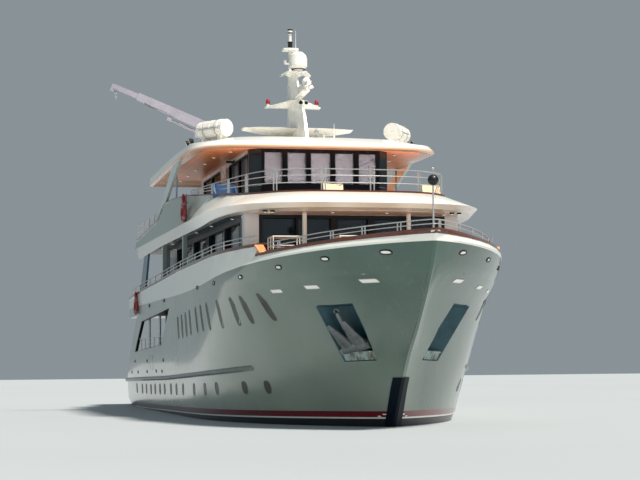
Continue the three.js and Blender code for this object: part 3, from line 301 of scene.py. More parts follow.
# %% [markdown]
# The decks are laid teak: narrow planks fore and aft with black caulking between them. A Brick texture
# gives staggered planks of one width. The grain is noise that is stretched along the plank, and the
# weathered silver shows as a second, larger noise. The lining under the hardtop uses the same idea with
# wider, varnished boards and a thin shadow line. The cap rails are dark varnished wood without seams.

# %% Woods
TEAK_PLANK = 0.055  # width of a deck plank
CEILING_BOARD = 0.22


def planks(name, first, second, seam, width, length, gap, roughness, silver=0.0):
    """Boards along X, of that width and length, with a seam between them."""
    made = Finish(name, roughness=roughness)
    brick = made.node("TexBrick", {"offset": 0.5, "offset_frequency": 2}, Vector=made.place)
    for key, value in (
        ("Color1", first), ("Color2", second), ("Mortar", seam), ("Scale", 1.0), ("Brick Width", length),
        ("Row Height", width), ("Mortar Size", gap), ("Mortar Smooth", 0.1), ("Bias", 0.0),
    ):
        brick.inputs[key].default_value = value
    grain = made.noise(14, 6, stretch=(0.25, 6, 6), rough=0.65)
    dark_grain = tuple(c * 0.45 for c in first[:3]) + (1,)
    wood = made.mix(made.span(grain, 0.35, 0.75, 0, 0.45), brick.outputs["Color"], dark_grain)
    if silver:
        wood = made.mix(made.span(made.noise(0.8, 4), 0.4, 0.75, 0, silver), wood, rgb(170, 158, 142))
    made.colour(made.mix(brick.outputs["Fac"], wood, seam))
    made.bump(made.math("SUBTRACT", made.math("MULTIPLY", grain, 0.3), brick.outputs["Fac"]), 0.002, 0.6)
    return made


teak_finish = planks(
    "teak_deck", rgb(186, 140, 96), rgb(170, 122, 80), rgb(30, 24, 20), TEAK_PLANK, 2.4, 0.004, 0.55, 0.35
)
ceiling_finish = planks(
    "ceiling_boards", rgb(250, 160, 106), rgb(240, 146, 90), rgb(150, 88, 56), CEILING_BOARD, 4.0, 0.004,
    0.35,
)
cap_finish = Finish("varnished_cap", roughness=0.18)
cap_grain = cap_finish.noise(9, 7, stretch=(0.3, 5, 5), rough=0.6)
cap_finish.colour(cap_finish.mix(cap_finish.span(cap_grain, 0.3, 0.7), rgb(112, 58, 36), rgb(62, 30, 20)))
cap_finish.bump(cap_grain, 0.0008, 0.3)
cap_finish.coat(0.8, 0.05)
print("deck planks", TEAK_PLANK, "m wide, ceiling boards", CEILING_BOARD, "m")

# %% [markdown]
# Three painted parts stand in the shade of the decks above them and show mostly what is around them,
# so painted shade and reflection are in their colours, as on the hull. The ceiling under the bridge
# deck is pale at the front and dark along the sides, a painted shade. The saloon's side walls are
# dark, which is painted shade, and its front is white. The fins under the hardtop are white outside
# and tan inside, with a weak glow of their own on the inner face, which stands for the light that the
# teak deck throws up.

# %% Painted shade under the decks
pale_ceiling = Finish("pale_ceiling", roughness=0.3)
ceiling_cloud = pale_ceiling.span(pale_ceiling.noise(3, 5), 0.35, 0.7)
# painted shade: dark teal along the sides of the ceiling
ceiling_side_shade = pale_ceiling.mix(ceiling_cloud, rgb(26, 58, 74), rgb(18, 44, 58))
ceiling_front = pale_ceiling.mix(ceiling_cloud, rgb(234, 214, 206), rgb(216, 196, 190))
pale_ceiling.colour_by_x(8.6, 10.2, ceiling_side_shade, ceiling_front)
pale_ceiling.set("Specular IOR Level", 0.15)

wall_finish = Finish("saloon_wall_paint", roughness=0.4)
wall_cloud = wall_finish.span(wall_finish.noise(1.4, 5), 0.4, 0.7)
# painted shade: the saloon's white side walls are shown dark aft of the front
wall_painted_shade = wall_finish.mix(wall_cloud, rgb(20, 40, 54), rgb(14, 30, 42))
wall_white = wall_finish.mix(wall_cloud, rgb(216, 218, 222), rgb(206, 208, 212))
wall_finish.colour_by_x(9.44, 9.46, wall_painted_shade, wall_white)
wall_finish.set("Specular IOR Level", 0.2)

fin_finish = Finish("fin_paint", roughness=0.25)
outwardness = fin_finish.math("MULTIPLY", fin_finish.facing("Y"), fin_finish.axis("Y"))
inner_side = fin_finish.math("LESS_THAN", outwardness, -2.0)
fin_cloud = fin_finish.span(fin_finish.noise(2.0, 5), 0.35, 0.7)
fin_outer = fin_finish.mix(fin_cloud, rgb(206, 216, 212), rgb(192, 204, 200))
fin_tan = fin_finish.mix(fin_cloud, rgb(246, 204, 170), rgb(236, 190, 154))
fin_finish.colour(fin_finish.mix(inner_side, fin_outer, fin_tan))
fin_glow = fin_finish.mix(inner_side, rgb(0, 0, 0), rgb(230, 160, 116))
fin_finish.feed(fin_finish.shader.inputs["Emission Color"], fin_glow)
fin_finish.set("Emission Strength", 0.42)
fin_finish.coat(0.4)
print("materials so far", len(bpy.data.materials))

# %% [markdown]
# Rails, rims and bollards are polished stainless steel, with faint brushing. The bronze propellers show
# a little tarnish. The stowed anchor is galvanised, dull and stained in patches. The saloon's
# panes are thick tinted glass: the tint sits in the glass colour, so the cabin still shows faintly
# through it. The wheelhouse's panes are half clear, so that the blinds and screens behind them show,
# and their paler grey-blue is a painted reflection of hazy surroundings. The windows in the hull's
# sides have nothing behind them, so they are dark gloss.

# %% Metals and glass
steel_finish = Finish("stainless_steel", roughness=0.16, metallic=0.6)
steel_finish.colour(steel_finish.mix(steel_finish.noise(3, 4), rgb(214, 212, 208), rgb(178, 178, 180)))
brushing = steel_finish.noise(30, 4, stretch=(1, 1, 5))
steel_finish.rough(steel_finish.span(brushing, 0.3, 0.7, 0.16, 0.34))

bronze_finish = Finish("propeller_bronze", roughness=0.3, metallic=1.0)
tarnish = bronze_finish.noise(5, 6)
tarnished = bronze_finish.span(tarnish, 0.45, 0.7)
bronze_finish.colour(bronze_finish.mix(tarnished, rgb(196, 152, 84), rgb(112, 96, 62)))
bronze_finish.rough(bronze_finish.span(tarnish, 0.3, 0.7, 0.2, 0.5))

anchor_finish = Finish("galvanised_anchor", roughness=0.55, metallic=0.7)
rust = anchor_finish.noise(6, 8, rough=0.7)
anchor_finish.colour(
    anchor_finish.mix(anchor_finish.span(rust, 0.5, 0.68), rgb(132, 138, 140), rgb(104, 98, 90))
)
anchor_finish.bump(rust, 0.004, 0.6)

glass_finish = Finish("tinted_glass", roughness=0.03)
glass_finish.colour(glass_finish.mix(glass_finish.noise(0.35, 2), rgb(58, 76, 88), rgb(44, 60, 74)))
glass_finish.set("IOR", 1.5)
glass_finish.set("Transmission Weight", 0.85)
glass_finish.set("Specular IOR Level", 0.3)
pale_reflection_glass = Finish("wheelhouse_glass", roughness=0.05)
# painted reflection: the pale grey-blue of the wheelhouse's half clear panes
pale_reflection_glass.colour(pale_reflection_glass.mix(pale_reflection_glass.noise(0.35, 2), rgb(126, 140, 164), rgb(104, 120, 146)))
pale_reflection_glass.set("IOR", 1.45)
pale_reflection_glass.set("Alpha", 0.5)


def dark_gloss(name, roughness, specular, first, second):
    """Dark glass that lets no view through, in two shades."""
    made = Finish(name, roughness=roughness)
    made.colour(made.mix(made.span(made.noise(1.2, 3), 0.35, 0.65), first, second))
    return made.set("Specular IOR Level", specular)


dark_pane = dark_gloss("hull_window_glass", 0.12, 0.3, rgb(26, 40, 50), rgb(14, 26, 36))
dark_pane.coat(0.15, 0.03)
hull_pane = dark_gloss("hull_pane", 0.3, 0.35, rgb(66, 66, 58), rgb(42, 46, 44))

lamp_finish = Finish("warm_lamp", roughness=0.3)
lamp_finish.colour(lamp_finish.mix(lamp_finish.noise(40, 2), rgb(255, 244, 216), rgb(240, 226, 196)))
lamp_finish.set("Emission Color", rgb(255, 236, 200))
lamp_finish.set("Emission Strength", 0.6)
print("materials so far", len(bpy.data.materials))

# %% [markdown]
# Each CAD node has one material slot in the record, and here every node gets the finish that belongs to
# it. A few nodes have a finish of their own. The CAD meshes come with flat facets. Marking their faces
# smooth, with the sharp edges kept by angle, lets the light run over the hull's long curves without
# moving a single point.

# %% Finishes of the CAD nodes
FINISH_OF_SLOT = {
    "hull_white": hull_finish, "upper_white": upper_finish, "bottom_paint": antifouling, "navy": navy_finish,
    "teak": teak_finish, "cap_wood": cap_finish, "steel": steel_finish, "glass": glass_finish,
    "rubber": band_grey, "bronze": bronze_finish, "galvanised": anchor_finish, "dome": canister_finish,
}
FINISH_OF_NODE = {
    "upper_deck_aft": hull_finish, "hardtop": roof_finish, "bridge_band": band_finish,
    "saloon_walls": wall_finish, "wheelhouse_glass": pale_reflection_glass,
    "fin_lower_starboard": slate_finish, "fin_lower_port": slate_finish,
    "fin_upper_starboard": fin_finish, "fin_upper_port": fin_finish,
}
SMOOTH_ANGLE = math.radians(24)
WELD_WITHIN = 0.00005  # metres
slot_of = {row["node"]: row["material_slot"] for row in frame["record"]["subparts"]}
for name, node in nodes.items():
    finish = FINISH_OF_NODE.get(name, FINISH_OF_SLOT[slot_of[name]])
    if name.startswith("crane") and slot_of[name] != "steel":
        finish = crane_finish
    node.data.materials.clear()
    node.data.materials.append(finish.material)
    if "custom_normal" in node.data.attributes:
        node.data.attributes.remove(node.data.attributes["custom_normal"])
    node.data.shade_smooth()
    node.modifiers.new("weld", "WELD").merge_threshold = WELD_WITHIN
    node.modifiers.new("crisp edges", "EDGE_SPLIT").split_angle = SMOOTH_ANGLE
print("finished", len(nodes), "CAD nodes")

# %% [markdown]
# The pieces of this scene are drawn in code, as lists of points and faces. A small Shape class gathers
# the solids of one piece: blocks, tubes along a path, turned shapes and lofts over rings of points.
# Modelling each by hand in Blender's window would look the same, but a script can be read, measured and
# changed. When a piece is made, its faces are turned outward, it gets its finish, and it rides on a body.


# %% A helper for shapes
face_count = {}  # faces of each piece, by its name


def full_turn(steps):
    """The angles of a circle in equal steps."""
    return [2 * math.pi * k / steps for k in range(steps)]


def placed_at(x, y, z, turn, scale=1.0):
    """The matrix that stands a loose thing somewhere on a deck, turned by that many degrees."""
    turned = Matrix.Rotation(math.radians(turn), 4, "Z")
    return Matrix.Translation((x, y, z)) @ turned @ Matrix.Scale(scale, 4)


def squarer(value, power):
    """A sine or cosine brought closer to 1, which makes a circle into a rounded square."""
    return math.copysign(abs(value) ** power, value)


class Shape:
    """Points and faces of one piece, gathered solid by solid."""

    def __init__(self):
        self.points, self.faces = [], []

    def add(self, points, faces):
        start = len(self.points)
        self.points += [Vector(p) for p in points]
        self.faces += [[start + i for i in face] for face in faces]
        return self

    def loft(self, rings, closed=False):
        """A skin over rings of equal count, capped at both ends, or closed on itself."""
        count = len(rings[0])
        faces = []
        for r in range(len(rings) if closed else len(rings) - 1):
            a, b = r * count, (r + 1) % len(rings) * count
            faces += [[a + i, a + (i + 1) % count, b + (i + 1) % count, b + i] for i in range(count)]
        if not closed:
            faces += [list(range(count)), list(range((len(rings) - 1) * count, len(rings) * count))]
        return self.add([p for ring in rings for p in ring], faces)

    def block(self, low, high):
        (x0, y0, z0), (x1, y1, z1) = low, high
        plan = [(x0, y0), (x1, y0), (x1, y1), (x0, y1)]
        return self.plate(plan, z0, z1)

    def side_block(self, side, low, high):
        """A block that is given as on the port side. Side -1 puts it on the starboard side."""
        y0, y1 = sorted((side * low[1], side * high[1]))
        return self.block((low[0], y0, low[2]), (high[0], y1, high[2]))

    def plate(self, plan, z0, z1):
        return self.loft([[(x, y, z) for x, y in plan] for z in (z0, z1)])

    def slab(self, profile, y0, y1):
        """A board with that profile of (x, z) points, from y0 to y1."""
        return self.loft([[(x, y, z) for x, z in profile] for y in (y0, y1)])

    def tube(self, path, radius, sides=8, closed=False):
        """A round bar along a path. The radius may change from point to point."""
        path = [Vector(p) for p in path]
        radii = radius if isinstance(radius, (list, tuple)) else [radius] * len(path)
        rings, across = [], None
        for i, here in enumerate(path):
            before = path[i - 1] if i or closed else here
            after = path[(i + 1) % len(path)] if i + 1 < len(path) or closed else here
            along = (after - before).normalized()
            if across is None:
                across = along.orthogonal().normalized()
            across = (across - along * across.dot(along)).normalized()
            up = along.cross(across)
            rings.append([
                here + (across * math.cos(t) + up * math.sin(t)) * radii[i]
                for t in full_turn(sides)
            ])
        return self.loft(rings, closed)

    def turned(self, at, axis, profile, sides=20):
        """A turned solid about an axis through at. The profile's columns are height and radius."""
        axis = Vector(axis).normalized()
        across = axis.orthogonal().normalized()
        up = axis.cross(across)
        rings = []
        for height, radius in profile:
            spot = Vector(at) + axis * height
            radius = max(radius, 1e-4)
            rings.append([
                spot + (across * math.cos(t) + up * math.sin(t)) * radius
                for t in full_turn(sides)
            ])
        return self.loft(rings)

    def join(self, other, matrix=None):
        points = [matrix @ p for p in other.points] if matrix else other.points
        return self.add(points, other.faces)

    def mirrored(self):
        """The same again on the other side of the ship."""
        return self.add([(p.x, -p.y, p.z) for p in self.points], [f[::-1] for f in self.faces])

    def piece(self, name, finish, slot, body=YACHT, bevel=0.0, smooth=40):
        mesh = bpy.data.meshes.new(name)
        mesh.from_pydata([tuple(p) for p in self.points], [], self.faces)
        work = bmesh.new()
        work.from_mesh(mesh)
        bmesh.ops.recalc_face_normals(work, faces=work.faces)
        work.to_mesh(mesh)
        work.free()
        made = bpy.data.objects.new(name, mesh)
        bpy.context.collection.objects.link(made)
        mesh.materials.append(finish.material)
        mesh.shade_smooth()
        mesh.set_sharp_from_angle(angle=math.radians(smooth))
        if bevel:
            rounding = made.modifiers.new("edges", "BEVEL")
            rounding.width, rounding.segments, rounding.limit_method = bevel, 2, "ANGLE"
        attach(made, body)
        face_count[name] = len(self.faces)
        return made


print("a plain block has", len(Shape().block((0, 0, 0), (1, 1, 1)).faces), "faces")

# %% [markdown]
# Windows, fairleads and marks lie on the hull's curved skin. Instead of bending each by eye, a ray is
# shot at the hull from the side: where it hits is the place, and the face that it hits gives the
# direction that looks outward. BVHTree, which sorts faces into boxes, makes thousands of such rays
# quick.

# %% The skin of the hull
SKIN_NODES = ("hull", "bulwark_bow", "bulwark_starboard", "terrace_side_starboard", "upper_deck_aft")
OUTSIDE_Y = -9  # clear of the starboard side


def tree_of(names):
    """The faces of those CAD nodes, sorted so that rays find them fast."""
    points, faces = [], []
    for name in names:
        start = len(points)
        mesh = nodes[name].data
        points += [v.co.copy() for v in mesh.vertices]
        faces += [[start + i for i in p.vertices] for p in mesh.polygons]
    return BVHTree.FromPolygons(points, faces)


skin_tree = tree_of(SKIN_NODES)


def on_skin(x, z, lift=0.0, tree=skin_tree):
    """The starboard skin's point at x and z, moved outward by lift."""
    for step in (0.0, 0.003, -0.03, -0.06):  # a ray can miss in a hairline gap or right at an edge
        spot, normal, _, _ = tree.ray_cast(
            Vector((x + abs(step) / 3, OUTSIDE_Y, z + step)), Vector((0, 1, 0))
        )
        if spot:
            break
    if normal.y > 0:
        normal = -normal
    return spot + normal * lift


print("half beam amidships", round(-on_skin(0, 3).y, 2), "m")

# %% [markdown]
# A window patch is an oval in the side view, projected on the skin. It is built as rings that shrink
# towards the middle, so that it follows the hull's curve, and a thin edge closes it behind. A rim is a
# tube along the same oval.


# %% Patches and rims on the skin
def oval(x, z, half_x, half_z, lean=0.0, power=2.0, turns=20):
    """An oval in side view. Power 2 is an ellipse, more is squarer. Lean moves the top aft."""
    points = []
    for k in range(turns):
        t = 2 * math.pi * (k + 0.5) / turns
        c, s = math.cos(t), math.sin(t)
        dz = half_z * squarer(s, 2 / power)
        dx = half_x * squarer(c, 2 / power)
        points.append((x + dx - lean * dz, z + dz))
    return points


def patch(shape, outline, lift=0.006, depth=0.02, steps=(1.0, 0.6, 0.2)):
    """A thin closed panel on the skin within the outline of (x, z) points."""
    middle = [sum(p[i] for p in outline) / len(outline) for i in (0, 1)]
    rings = [[on_skin(x, z, lift - depth) for x, z in outline]]
    for step in steps:
        shrunk = [
            (middle[0] + (x - middle[0]) * step, middle[1] + (z - middle[1]) * step)
            for x, z in outline
        ]
        rings.append([on_skin(x, z, lift) for x, z in shrunk])
    shape.loft(rings)


def rim(shape, outline, radius, lift=0.004, sides=8):
    """A round moulding along the outline."""
    shape.tube([on_skin(x, z, lift) for x, z in outline], radius, sides, closed=True)


print("points in an oval", len(oval(0, 3, 0.2, 0.3)))

# %% [markdown]
# Along the main deck runs a row of eleven tall, slim windows whose tops lean aft. Below them fifteen
# small portlights follow the lower deck. Each is a pane that lies on the hull's skin with a rim round
# it. All are repeated to port.

# %% Hull windows
# Columns: x at the top, top z, x at the bottom, bottom z
SLIM_WINDOWS = [
    (1.20, 3.64, 1.45, 2.82), (2.12, 3.68, 2.42, 2.84), (3.05, 3.74, 3.40, 2.86), (3.98, 3.80, 4.38, 2.90),
    (5.32, 3.86, 5.86, 2.96), (6.38, 3.90, 6.98, 2.98), (7.58, 3.93, 8.15, 3.00), (9.24, 3.96, 9.62, 3.03),
    (10.72, 3.98, 10.98, 3.08), (11.55, 4.00, 11.78, 3.12), (12.68, 4.03, 12.90, 3.18),
]
SLIM_HALF_WIDTH = 0.145
PORTLIGHTS = [
    (-12.1, 0.84), (-9.85, 0.85), (-8.4, 0.86), (-6.9, 0.87), (-5.6, 0.89), (-4.15, 0.91), (-2.85, 0.92),
    (-1.1, 0.95), (0.32, 0.96), (1.97, 0.98), (4.45, 1.01), (6.34, 1.04), (7.8, 1.08), (10.02, 1.13),
    (11.28, 1.16),
]
slim_pane, slim_rim = Shape(), Shape()
for top_x, top_z, low_x, low_z in SLIM_WINDOWS:
    half_height = (top_z - low_z) / 2
    lean = (low_x - top_x) / 2 / half_height
    outline = oval((top_x + low_x) / 2, (top_z + low_z) / 2, SLIM_HALF_WIDTH, half_height, lean, 3.0, 24)
    patch(slim_pane, outline, 0.004)
    rim(slim_rim, outline, 0.008, 0.002)
slim_pane.mirrored().piece("hull_windows_slim", hull_pane, "glass")
slim_rim.mirrored().piece("hull_windows_slim_frames", band_grey, "rubber")
port_pane, port_rim = Shape(), Shape()
for x, z in PORTLIGHTS:
    outline = oval(x, z, 0.17, 0.21, -0.12, 2.4, 20)
    patch(port_pane, outline, 0.004)
    rim(port_rim, outline, 0.010, 0.003)
port_pane.mirrored().piece("portlights", hull_pane, "glass")
port_rim.mirrored().piece("portlight_frames", band_grey, "steel")
print("windows a side", len(SLIM_WINDOWS), "and portlights", len(PORTLIGHTS))

# %% [markdown]
# Mooring lines pass through oval fairleads in the bulwark, each with a heavy dark rim, which is painted
# shade on the steel edge of the opening. Below them near the bow are slots that drain the foredeck. Both
# look bright, because daylight shows through them, so their panels are painted warm white, a painted
# light that stands for that daylight. Lower down are the round outlets of drains and pumps, each a
# black ring round a black disc, the disc painted shade in the outlet's mouth.

# %% Fairleads, scuppers and outlets
FAIRLEADS = [
    (18.03, 4.95), (16.32, 4.86), (14.43, 4.72), (12.05, 4.55), (9.1, 4.50), (5.86, 4.50), (-2.29, 4.36),
    (-6.65, 4.30)
]
SCUPPERS = [(16.94, 4.21), (15.12, 4.11), (13.68, 4.05)]
OUTLETS = [
    (-12.3, 2.03), (-7.65, 2.03), (-2.8, 2.05), (-14.2, 1.54), (-11.2, 1.55), (-7.85, 1.59), (-5.0, 1.62),
    (-3.3, 1.62)
]
# painted daylight: this warm white fills the fairleads and scuppers; on the draught bars it is white paint
white_paint_and_daylight = plain_paint("white_paint_and_daylight", rgb(255, 252, 246), rgb(240, 234, 222), 0.25, 0.4)
fair_rim_shade, fair_cup_daylight, scupper_daylight, scupper_rim, outlet = Shape(), Shape(), Shape(), Shape(), Shape()
for x, z in FAIRLEADS:
    outline = oval(x, z, 0.125, 0.055, 0.0, 2.6, 22)
    # painted shade: the steel rims are drawn black
    rim(fair_rim_shade, outline, 0.020, 0.008)
    patch(fair_cup_daylight, outline, 0.010)
for x, z in SCUPPERS:
    outline = oval(x, z, 0.23, 0.05, 0.0, 9.0, 20)
    patch(scupper_daylight, outline, 0.008)
    rim(scupper_rim, outline, 0.012, 0.004)
for x, z in OUTLETS:
    rim(outlet, oval(x, z, 0.055, 0.055, 0, 2, 14), 0.016, 0.004)
    # painted shade: the black disc stands for the shade in the outlet's mouth
    patch(outlet, oval(x, z, 0.045, 0.045, 0, 2, 14), 0.002)
fair_rim_shade.mirrored().piece("fairlead_rims", black_finish, "steel")
fair_cup_daylight.mirrored().piece("fairlead_cups", white_paint_and_daylight, "upper_white")
scupper_daylight.mirrored().piece("scupper_plates", white_paint_and_daylight, "upper_white")
scupper_rim.mirrored().piece("scupper_frames", steel_finish, "steel")
outlet.mirrored().piece("hull_outlets", black_finish, "navy")
print("fairleads a side", len(FAIRLEADS))

# %% [markdown]
# The top edge of the hull, the edge of the bridge deck and the edge of the hardtop are each a curve
# with a simple formula, the same ones that the CAD model uses: a straight side that rounds off
# forward by a power law. Rails, trims and ceilings all follow them, so they are written once here.

# %% Edge curves
CAP_THICK = 0.055
SIDE_TOP = [(-15.4, 4.88), (-8.3, 5.05), (-3.6, 5.17), (1.7, 5.33), (6.3, 5.39), (13.2, 5.47)]  # (x, z)
BOW_TOP = [(13.2, 5.19), (16.5, 5.375), (19.3, 5.5)]
BAND_TOP = [
    (-10.7, 7.25), (-7.2, 7.39), (-4.5, 7.54), (-3.8, 7.6), (-2.6, 7.9), (-1.8, 8.06), (0.9, 8.01),
    (3.56, 7.87), (4.76, 7.77), (6.33, 7.64), (8.66, 7.47), (10.0, 7.38), (11.0, 7.335),
]
HALF_BEAM = 4.45  # half breadth of the bulwark's top edge amidships
STERN_HALF_BEAM = 4.08
FLARE_FROM, STEM_X = 9.08, 19.23  # where the edge leaves its straight side, and where it meets the stem
TAPER_FROM, TAPER_LENGTH = -8.0, 9.6  # where it starts to narrow towards the stern
BAND_HALF, BAND_NOSE_FROM, BAND_NOSE = 4.54, 6.0, 6.15  # half breadth, start and length of the nose
BAND_SIDE_X = (-10.7, -8.9, -7.2, -4.5, -3.8, -2.6, -1.8, 0.9, 3.5)
ROOF_HALF, ROOF_NOSE_FROM, ROOF_NOSE = 4.48, 1.0, 5.5
ROOF_AFT_X = -6.4
ROOF_BOTTOM = 9.4


def read_off(table, x):
    """The second column of a table at x, in a straight line between its rows."""
    for (x0, v0), (x1, v1) in zip(table, table[1:]):
        if x <= x1:
            return v0 + (v1 - v0) * max(0.0, (x - x0) / (x1 - x0))
    return table[-1][1]


def share_of(value):
    """The value, cut off below 0 and above 1."""
    return min(1, max(0, value))


def hull_edge(x, inset=0.0):
    """Half breadth of the bulwark's top edge, taken in by inset."""
    fore = share_of((x - FLARE_FROM) / (STEM_X - inset * 1.5 - FLARE_FROM))
    aft = share_of((TAPER_FROM - x) / TAPER_LENGTH)
    rounding = (1 - fore**1.76) ** (1 / 1.21)
    return max(0.0, (HALF_BEAM - inset) * rounding * (1 - (1 - STERN_HALF_BEAM / HALF_BEAM) * aft**2))


def band_inset(x):
    """How far the top of the bridge deck's band leans in at x."""
    t = share_of((x - 1.5) / 8.5)
    return 0.06 + 0.94 * (t * t * (3 - 2 * t))


def nosed_edge(straight_x, half, nose_from, nose, power, inset, turns=26):
    """Starboard edge with a straight side and a rounded nose that ends on the centreline, as (x, y)."""
    path = [(x, -(half - inset(x))) for x in straight_x]
    for i in range(turns + 1):
        angle = (1 - i / turns) * math.pi / 2
        c, s = math.cos(angle) ** (2 / power), math.sin(angle) ** (2 / power)
        taken = inset(nose_from + nose * c)
        path.append((nose_from + (nose - taken) * c, -(half - taken) * s if i < turns else 0.0))
    return path


def band_edge(inset, from_x=-10.7):
    """Edge of the bridge deck's band. The inset is a function of x."""
    straight_x = [x for x in BAND_SIDE_X if x >= from_x]
    return nosed_edge(straight_x, BAND_HALF, BAND_NOSE_FROM, BAND_NOSE, 3.6, inset)


def roof_edge(inset):
    """Edge of the hardtop, taken in by the same inset all along."""
    straight_x = (ROOF_AFT_X + inset, -4.8, -3.0, -1.0)
    return nosed_edge(straight_x, ROOF_HALF, ROOF_NOSE_FROM, ROOF_NOSE, 5.5, lambda x: inset)


def and_back(path):
    """The starboard path, then the whole of its mirror image back to its start."""
    return list(path) + [(p[0], -p[1], *p[2:]) for p in path[::-1]]


def both_sides(path):
    """The same for a path that ends on the centreline, a point that isn't repeated."""
    return list(path) + [(p[0], -p[1], *p[2:]) for p in path[:-1][::-1]]


print("edge at x = 15:", round(hull_edge(15), 2), "m")

# %% [markdown]
# The CAD rails have their top tubes and stanchions. The real ones also carry one or two thinner tubes
# between them, which make the rails read as rails from a distance. They run along the same curves.

# %% Middle tubes of the rails
THIN_TUBE = 0.014
MIDDLE_HEIGHT = 0.125  # of the tube over the cap rail


def between_rails(edge, top, share):
    """The edge as a path that far up from the foot of the bridge rail to its top tube."""
    path = []
    for x, y in edge:
        foot = 6.88 if x < -10.6 else read_off(BAND_TOP, x) + 0.045
        path.append((x, y, foot + (top - foot) * share))
    return path


bow_path = []
for i in range(25):
    x = 13.45 + (19.09 - 13.45) * math.sin(i / 24 * math.pi / 2)
    bow_path.append((x, -hull_edge(x, 0.07), read_off(BOW_TOP, x) + CAP_THICK + MIDDLE_HEIGHT))
Shape().tube(both_sides(bow_path), THIN_TUBE).piece("bow_rail_middle", steel_finish, "steel")
side_path = []
for x in (12.9, 11.8, 10.5, 9.0, 6.5, 2.5, -1.0, -4.5, -8.0, -11.5, -14.2):
    side_path.append((x, -hull_edge(x, 0.015), read_off(SIDE_TOP, x) + CAP_THICK + MIDDLE_HEIGHT))
Shape().tube(side_path, THIN_TUBE).mirrored().piece("side_rail_middle", steel_finish, "steel")
fore_edge = band_edge(lambda x: band_inset(x) + 0.06, from_x=3.5)
fore_tubes = Shape()
for share in (0.36, 0.70):
    fore_tubes.tube(both_sides(between_rails(fore_edge, 8.06, share)), THIN_TUBE)
fore_tubes.piece("bridge_rail_fore_middle", steel_finish, "steel")
aft_edge = [(x, -(BAND_HALF - band_inset(x) - 0.06)) for x in (-4.5, -7.2, -8.9)]
aft_edge += [(-10.58, -4.43), (-10.62, -4.33)]
aft_tubes = Shape()
for share in (0.25, 0.5, 0.75):
    aft_tubes.tube(and_back(between_rails(aft_edge, 7.93, share)), THIN_TUBE)
aft_tubes.piece("bridge_rail_aft_middle", steel_finish, "steel")
stern_tubes = Shape()
for height in (4.66, 4.94, 5.22):
    corner = [(-14.2, -3.85, height), (-15.15, -3.8, height), (-15.28, -3.65, height)]
    stern_tubes.tube(and_back(corner), THIN_TUBE)
stern_tubes.piece("stern_rail_middle", steel_finish, "steel")
terrace_tubes = Shape()
for height in (2.66, 2.82):
    path = [(x, on_skin(x, 2.3).y + 0.06, height) for x in (-10.4, -9, -7, -5, -3.9)]
    terrace_tubes.tube(path, THIN_TUBE)
terrace_tubes.mirrored().piece("terrace_rail_middle", steel_finish, "steel")
print("thin tubes of", THIN_TUBE * 2000, "mm")

# %% [markdown]
# The decks' overhangs are lined with boards. Each lining is a thin sheet just below the plating, cut
# along the same edge curve. The ones under the hardtop and over the after deck are varnished and glow
# warm in the light that the teak throws up. Small round lamps sit in rows in the linings.

# %% Ceilings with their lamps
LINING = 0.014  # thickness of the boards
ROOF_LINING_TOP, BRIDGE_LINING_TOP, TERRACE_LINING_TOP = 9.399, 6.698, 4.198
terrace_plan = [(x, on_skin(x, 4.0).y + 0.14) for x in (-11.2, -9, -6, -3, -0.65)]
for name, plan, top, board in (
    ("hardtop_lining", both_sides(roof_edge(0.43)), ROOF_LINING_TOP, ceiling_finish),
    ("bridge_deck_lining", both_sides(band_edge(lambda x: 0.62)), BRIDGE_LINING_TOP, pale_ceiling),
    ("terrace_lining", and_back(terrace_plan), TERRACE_LINING_TOP, ceiling_finish),
):
    Shape().plate(plan, top - LINING, top).piece(name, board, "teak")
lamp_glass, lamp_ring = Shape(), Shape()
LAMP_ROWS = [  # the lining's lower face, and where the lamps are as x and distance from the middle
    (
        ROOF_LINING_TOP - LINING,
        [(-5.6, 3.3), (-3.6, 3.3), (-1.6, 3.3), (0.6, 3.3), (2.6, 3.3), (4.4, 3.0), (5.9, 1.6), (5.95, 0.0)]
    ),
    (
        BRIDGE_LINING_TOP - LINING,
        [
            (-9.6, 3.0), (-9.6, 1.0), (-7.0, 3.85), (-4.0, 3.85), (-1.0, 3.85), (2.0, 3.85), (5.0, 3.8),
            (8.0, 3.6), (10.6, 2.9), (10.9, 0.9)
        ]
    ),
    (TERRACE_LINING_TOP - LINING, [(-10.0, 2.6), (-7.5, 2.6), (-5.0, 2.6), (-2.5, 2.6)]),
]
for height, spots in LAMP_ROWS:
    for x, y in spots:
        lamp_ring.turned((x, -y, height), (0, 0, -1), [(0, 0.085), (0.012, 0.08), (0.016, 0.065)], 16)
        lamp_glass.turned(
            (x, -y, height - 0.016), (0, 0, -1), [(0, 0.06), (0.006, 0.05), (0.009, 0.03)], 16
        )
lamp_ring.mirrored().piece("ceiling_lamp_rings", steel_finish, "steel")
lamp_glass.mirrored().piece("ceiling_lamp_glasses", lamp_finish, "glass")
print("lamps", 2 * sum(len(spots) for _, spots in LAMP_ROWS))

# %% [markdown]
# The front of the wheelhouse is nearly all glass, set in a black frame with a dark apron below it. The
# CAD walls are plain plating with holes, so thin black trims are laid round every hole. The same
# trims frame the saloon's wide panes, whose front looks like one dark sheet between two posts.


# %% Window frames of the deckhouses
WHEELHOUSE_FRONT_X, WHEELHOUSE_SIDE_Y = 5.52, 2.5
SALOON_FRONT_X, SALOON_SIDE_Y = 10.0, 3.58


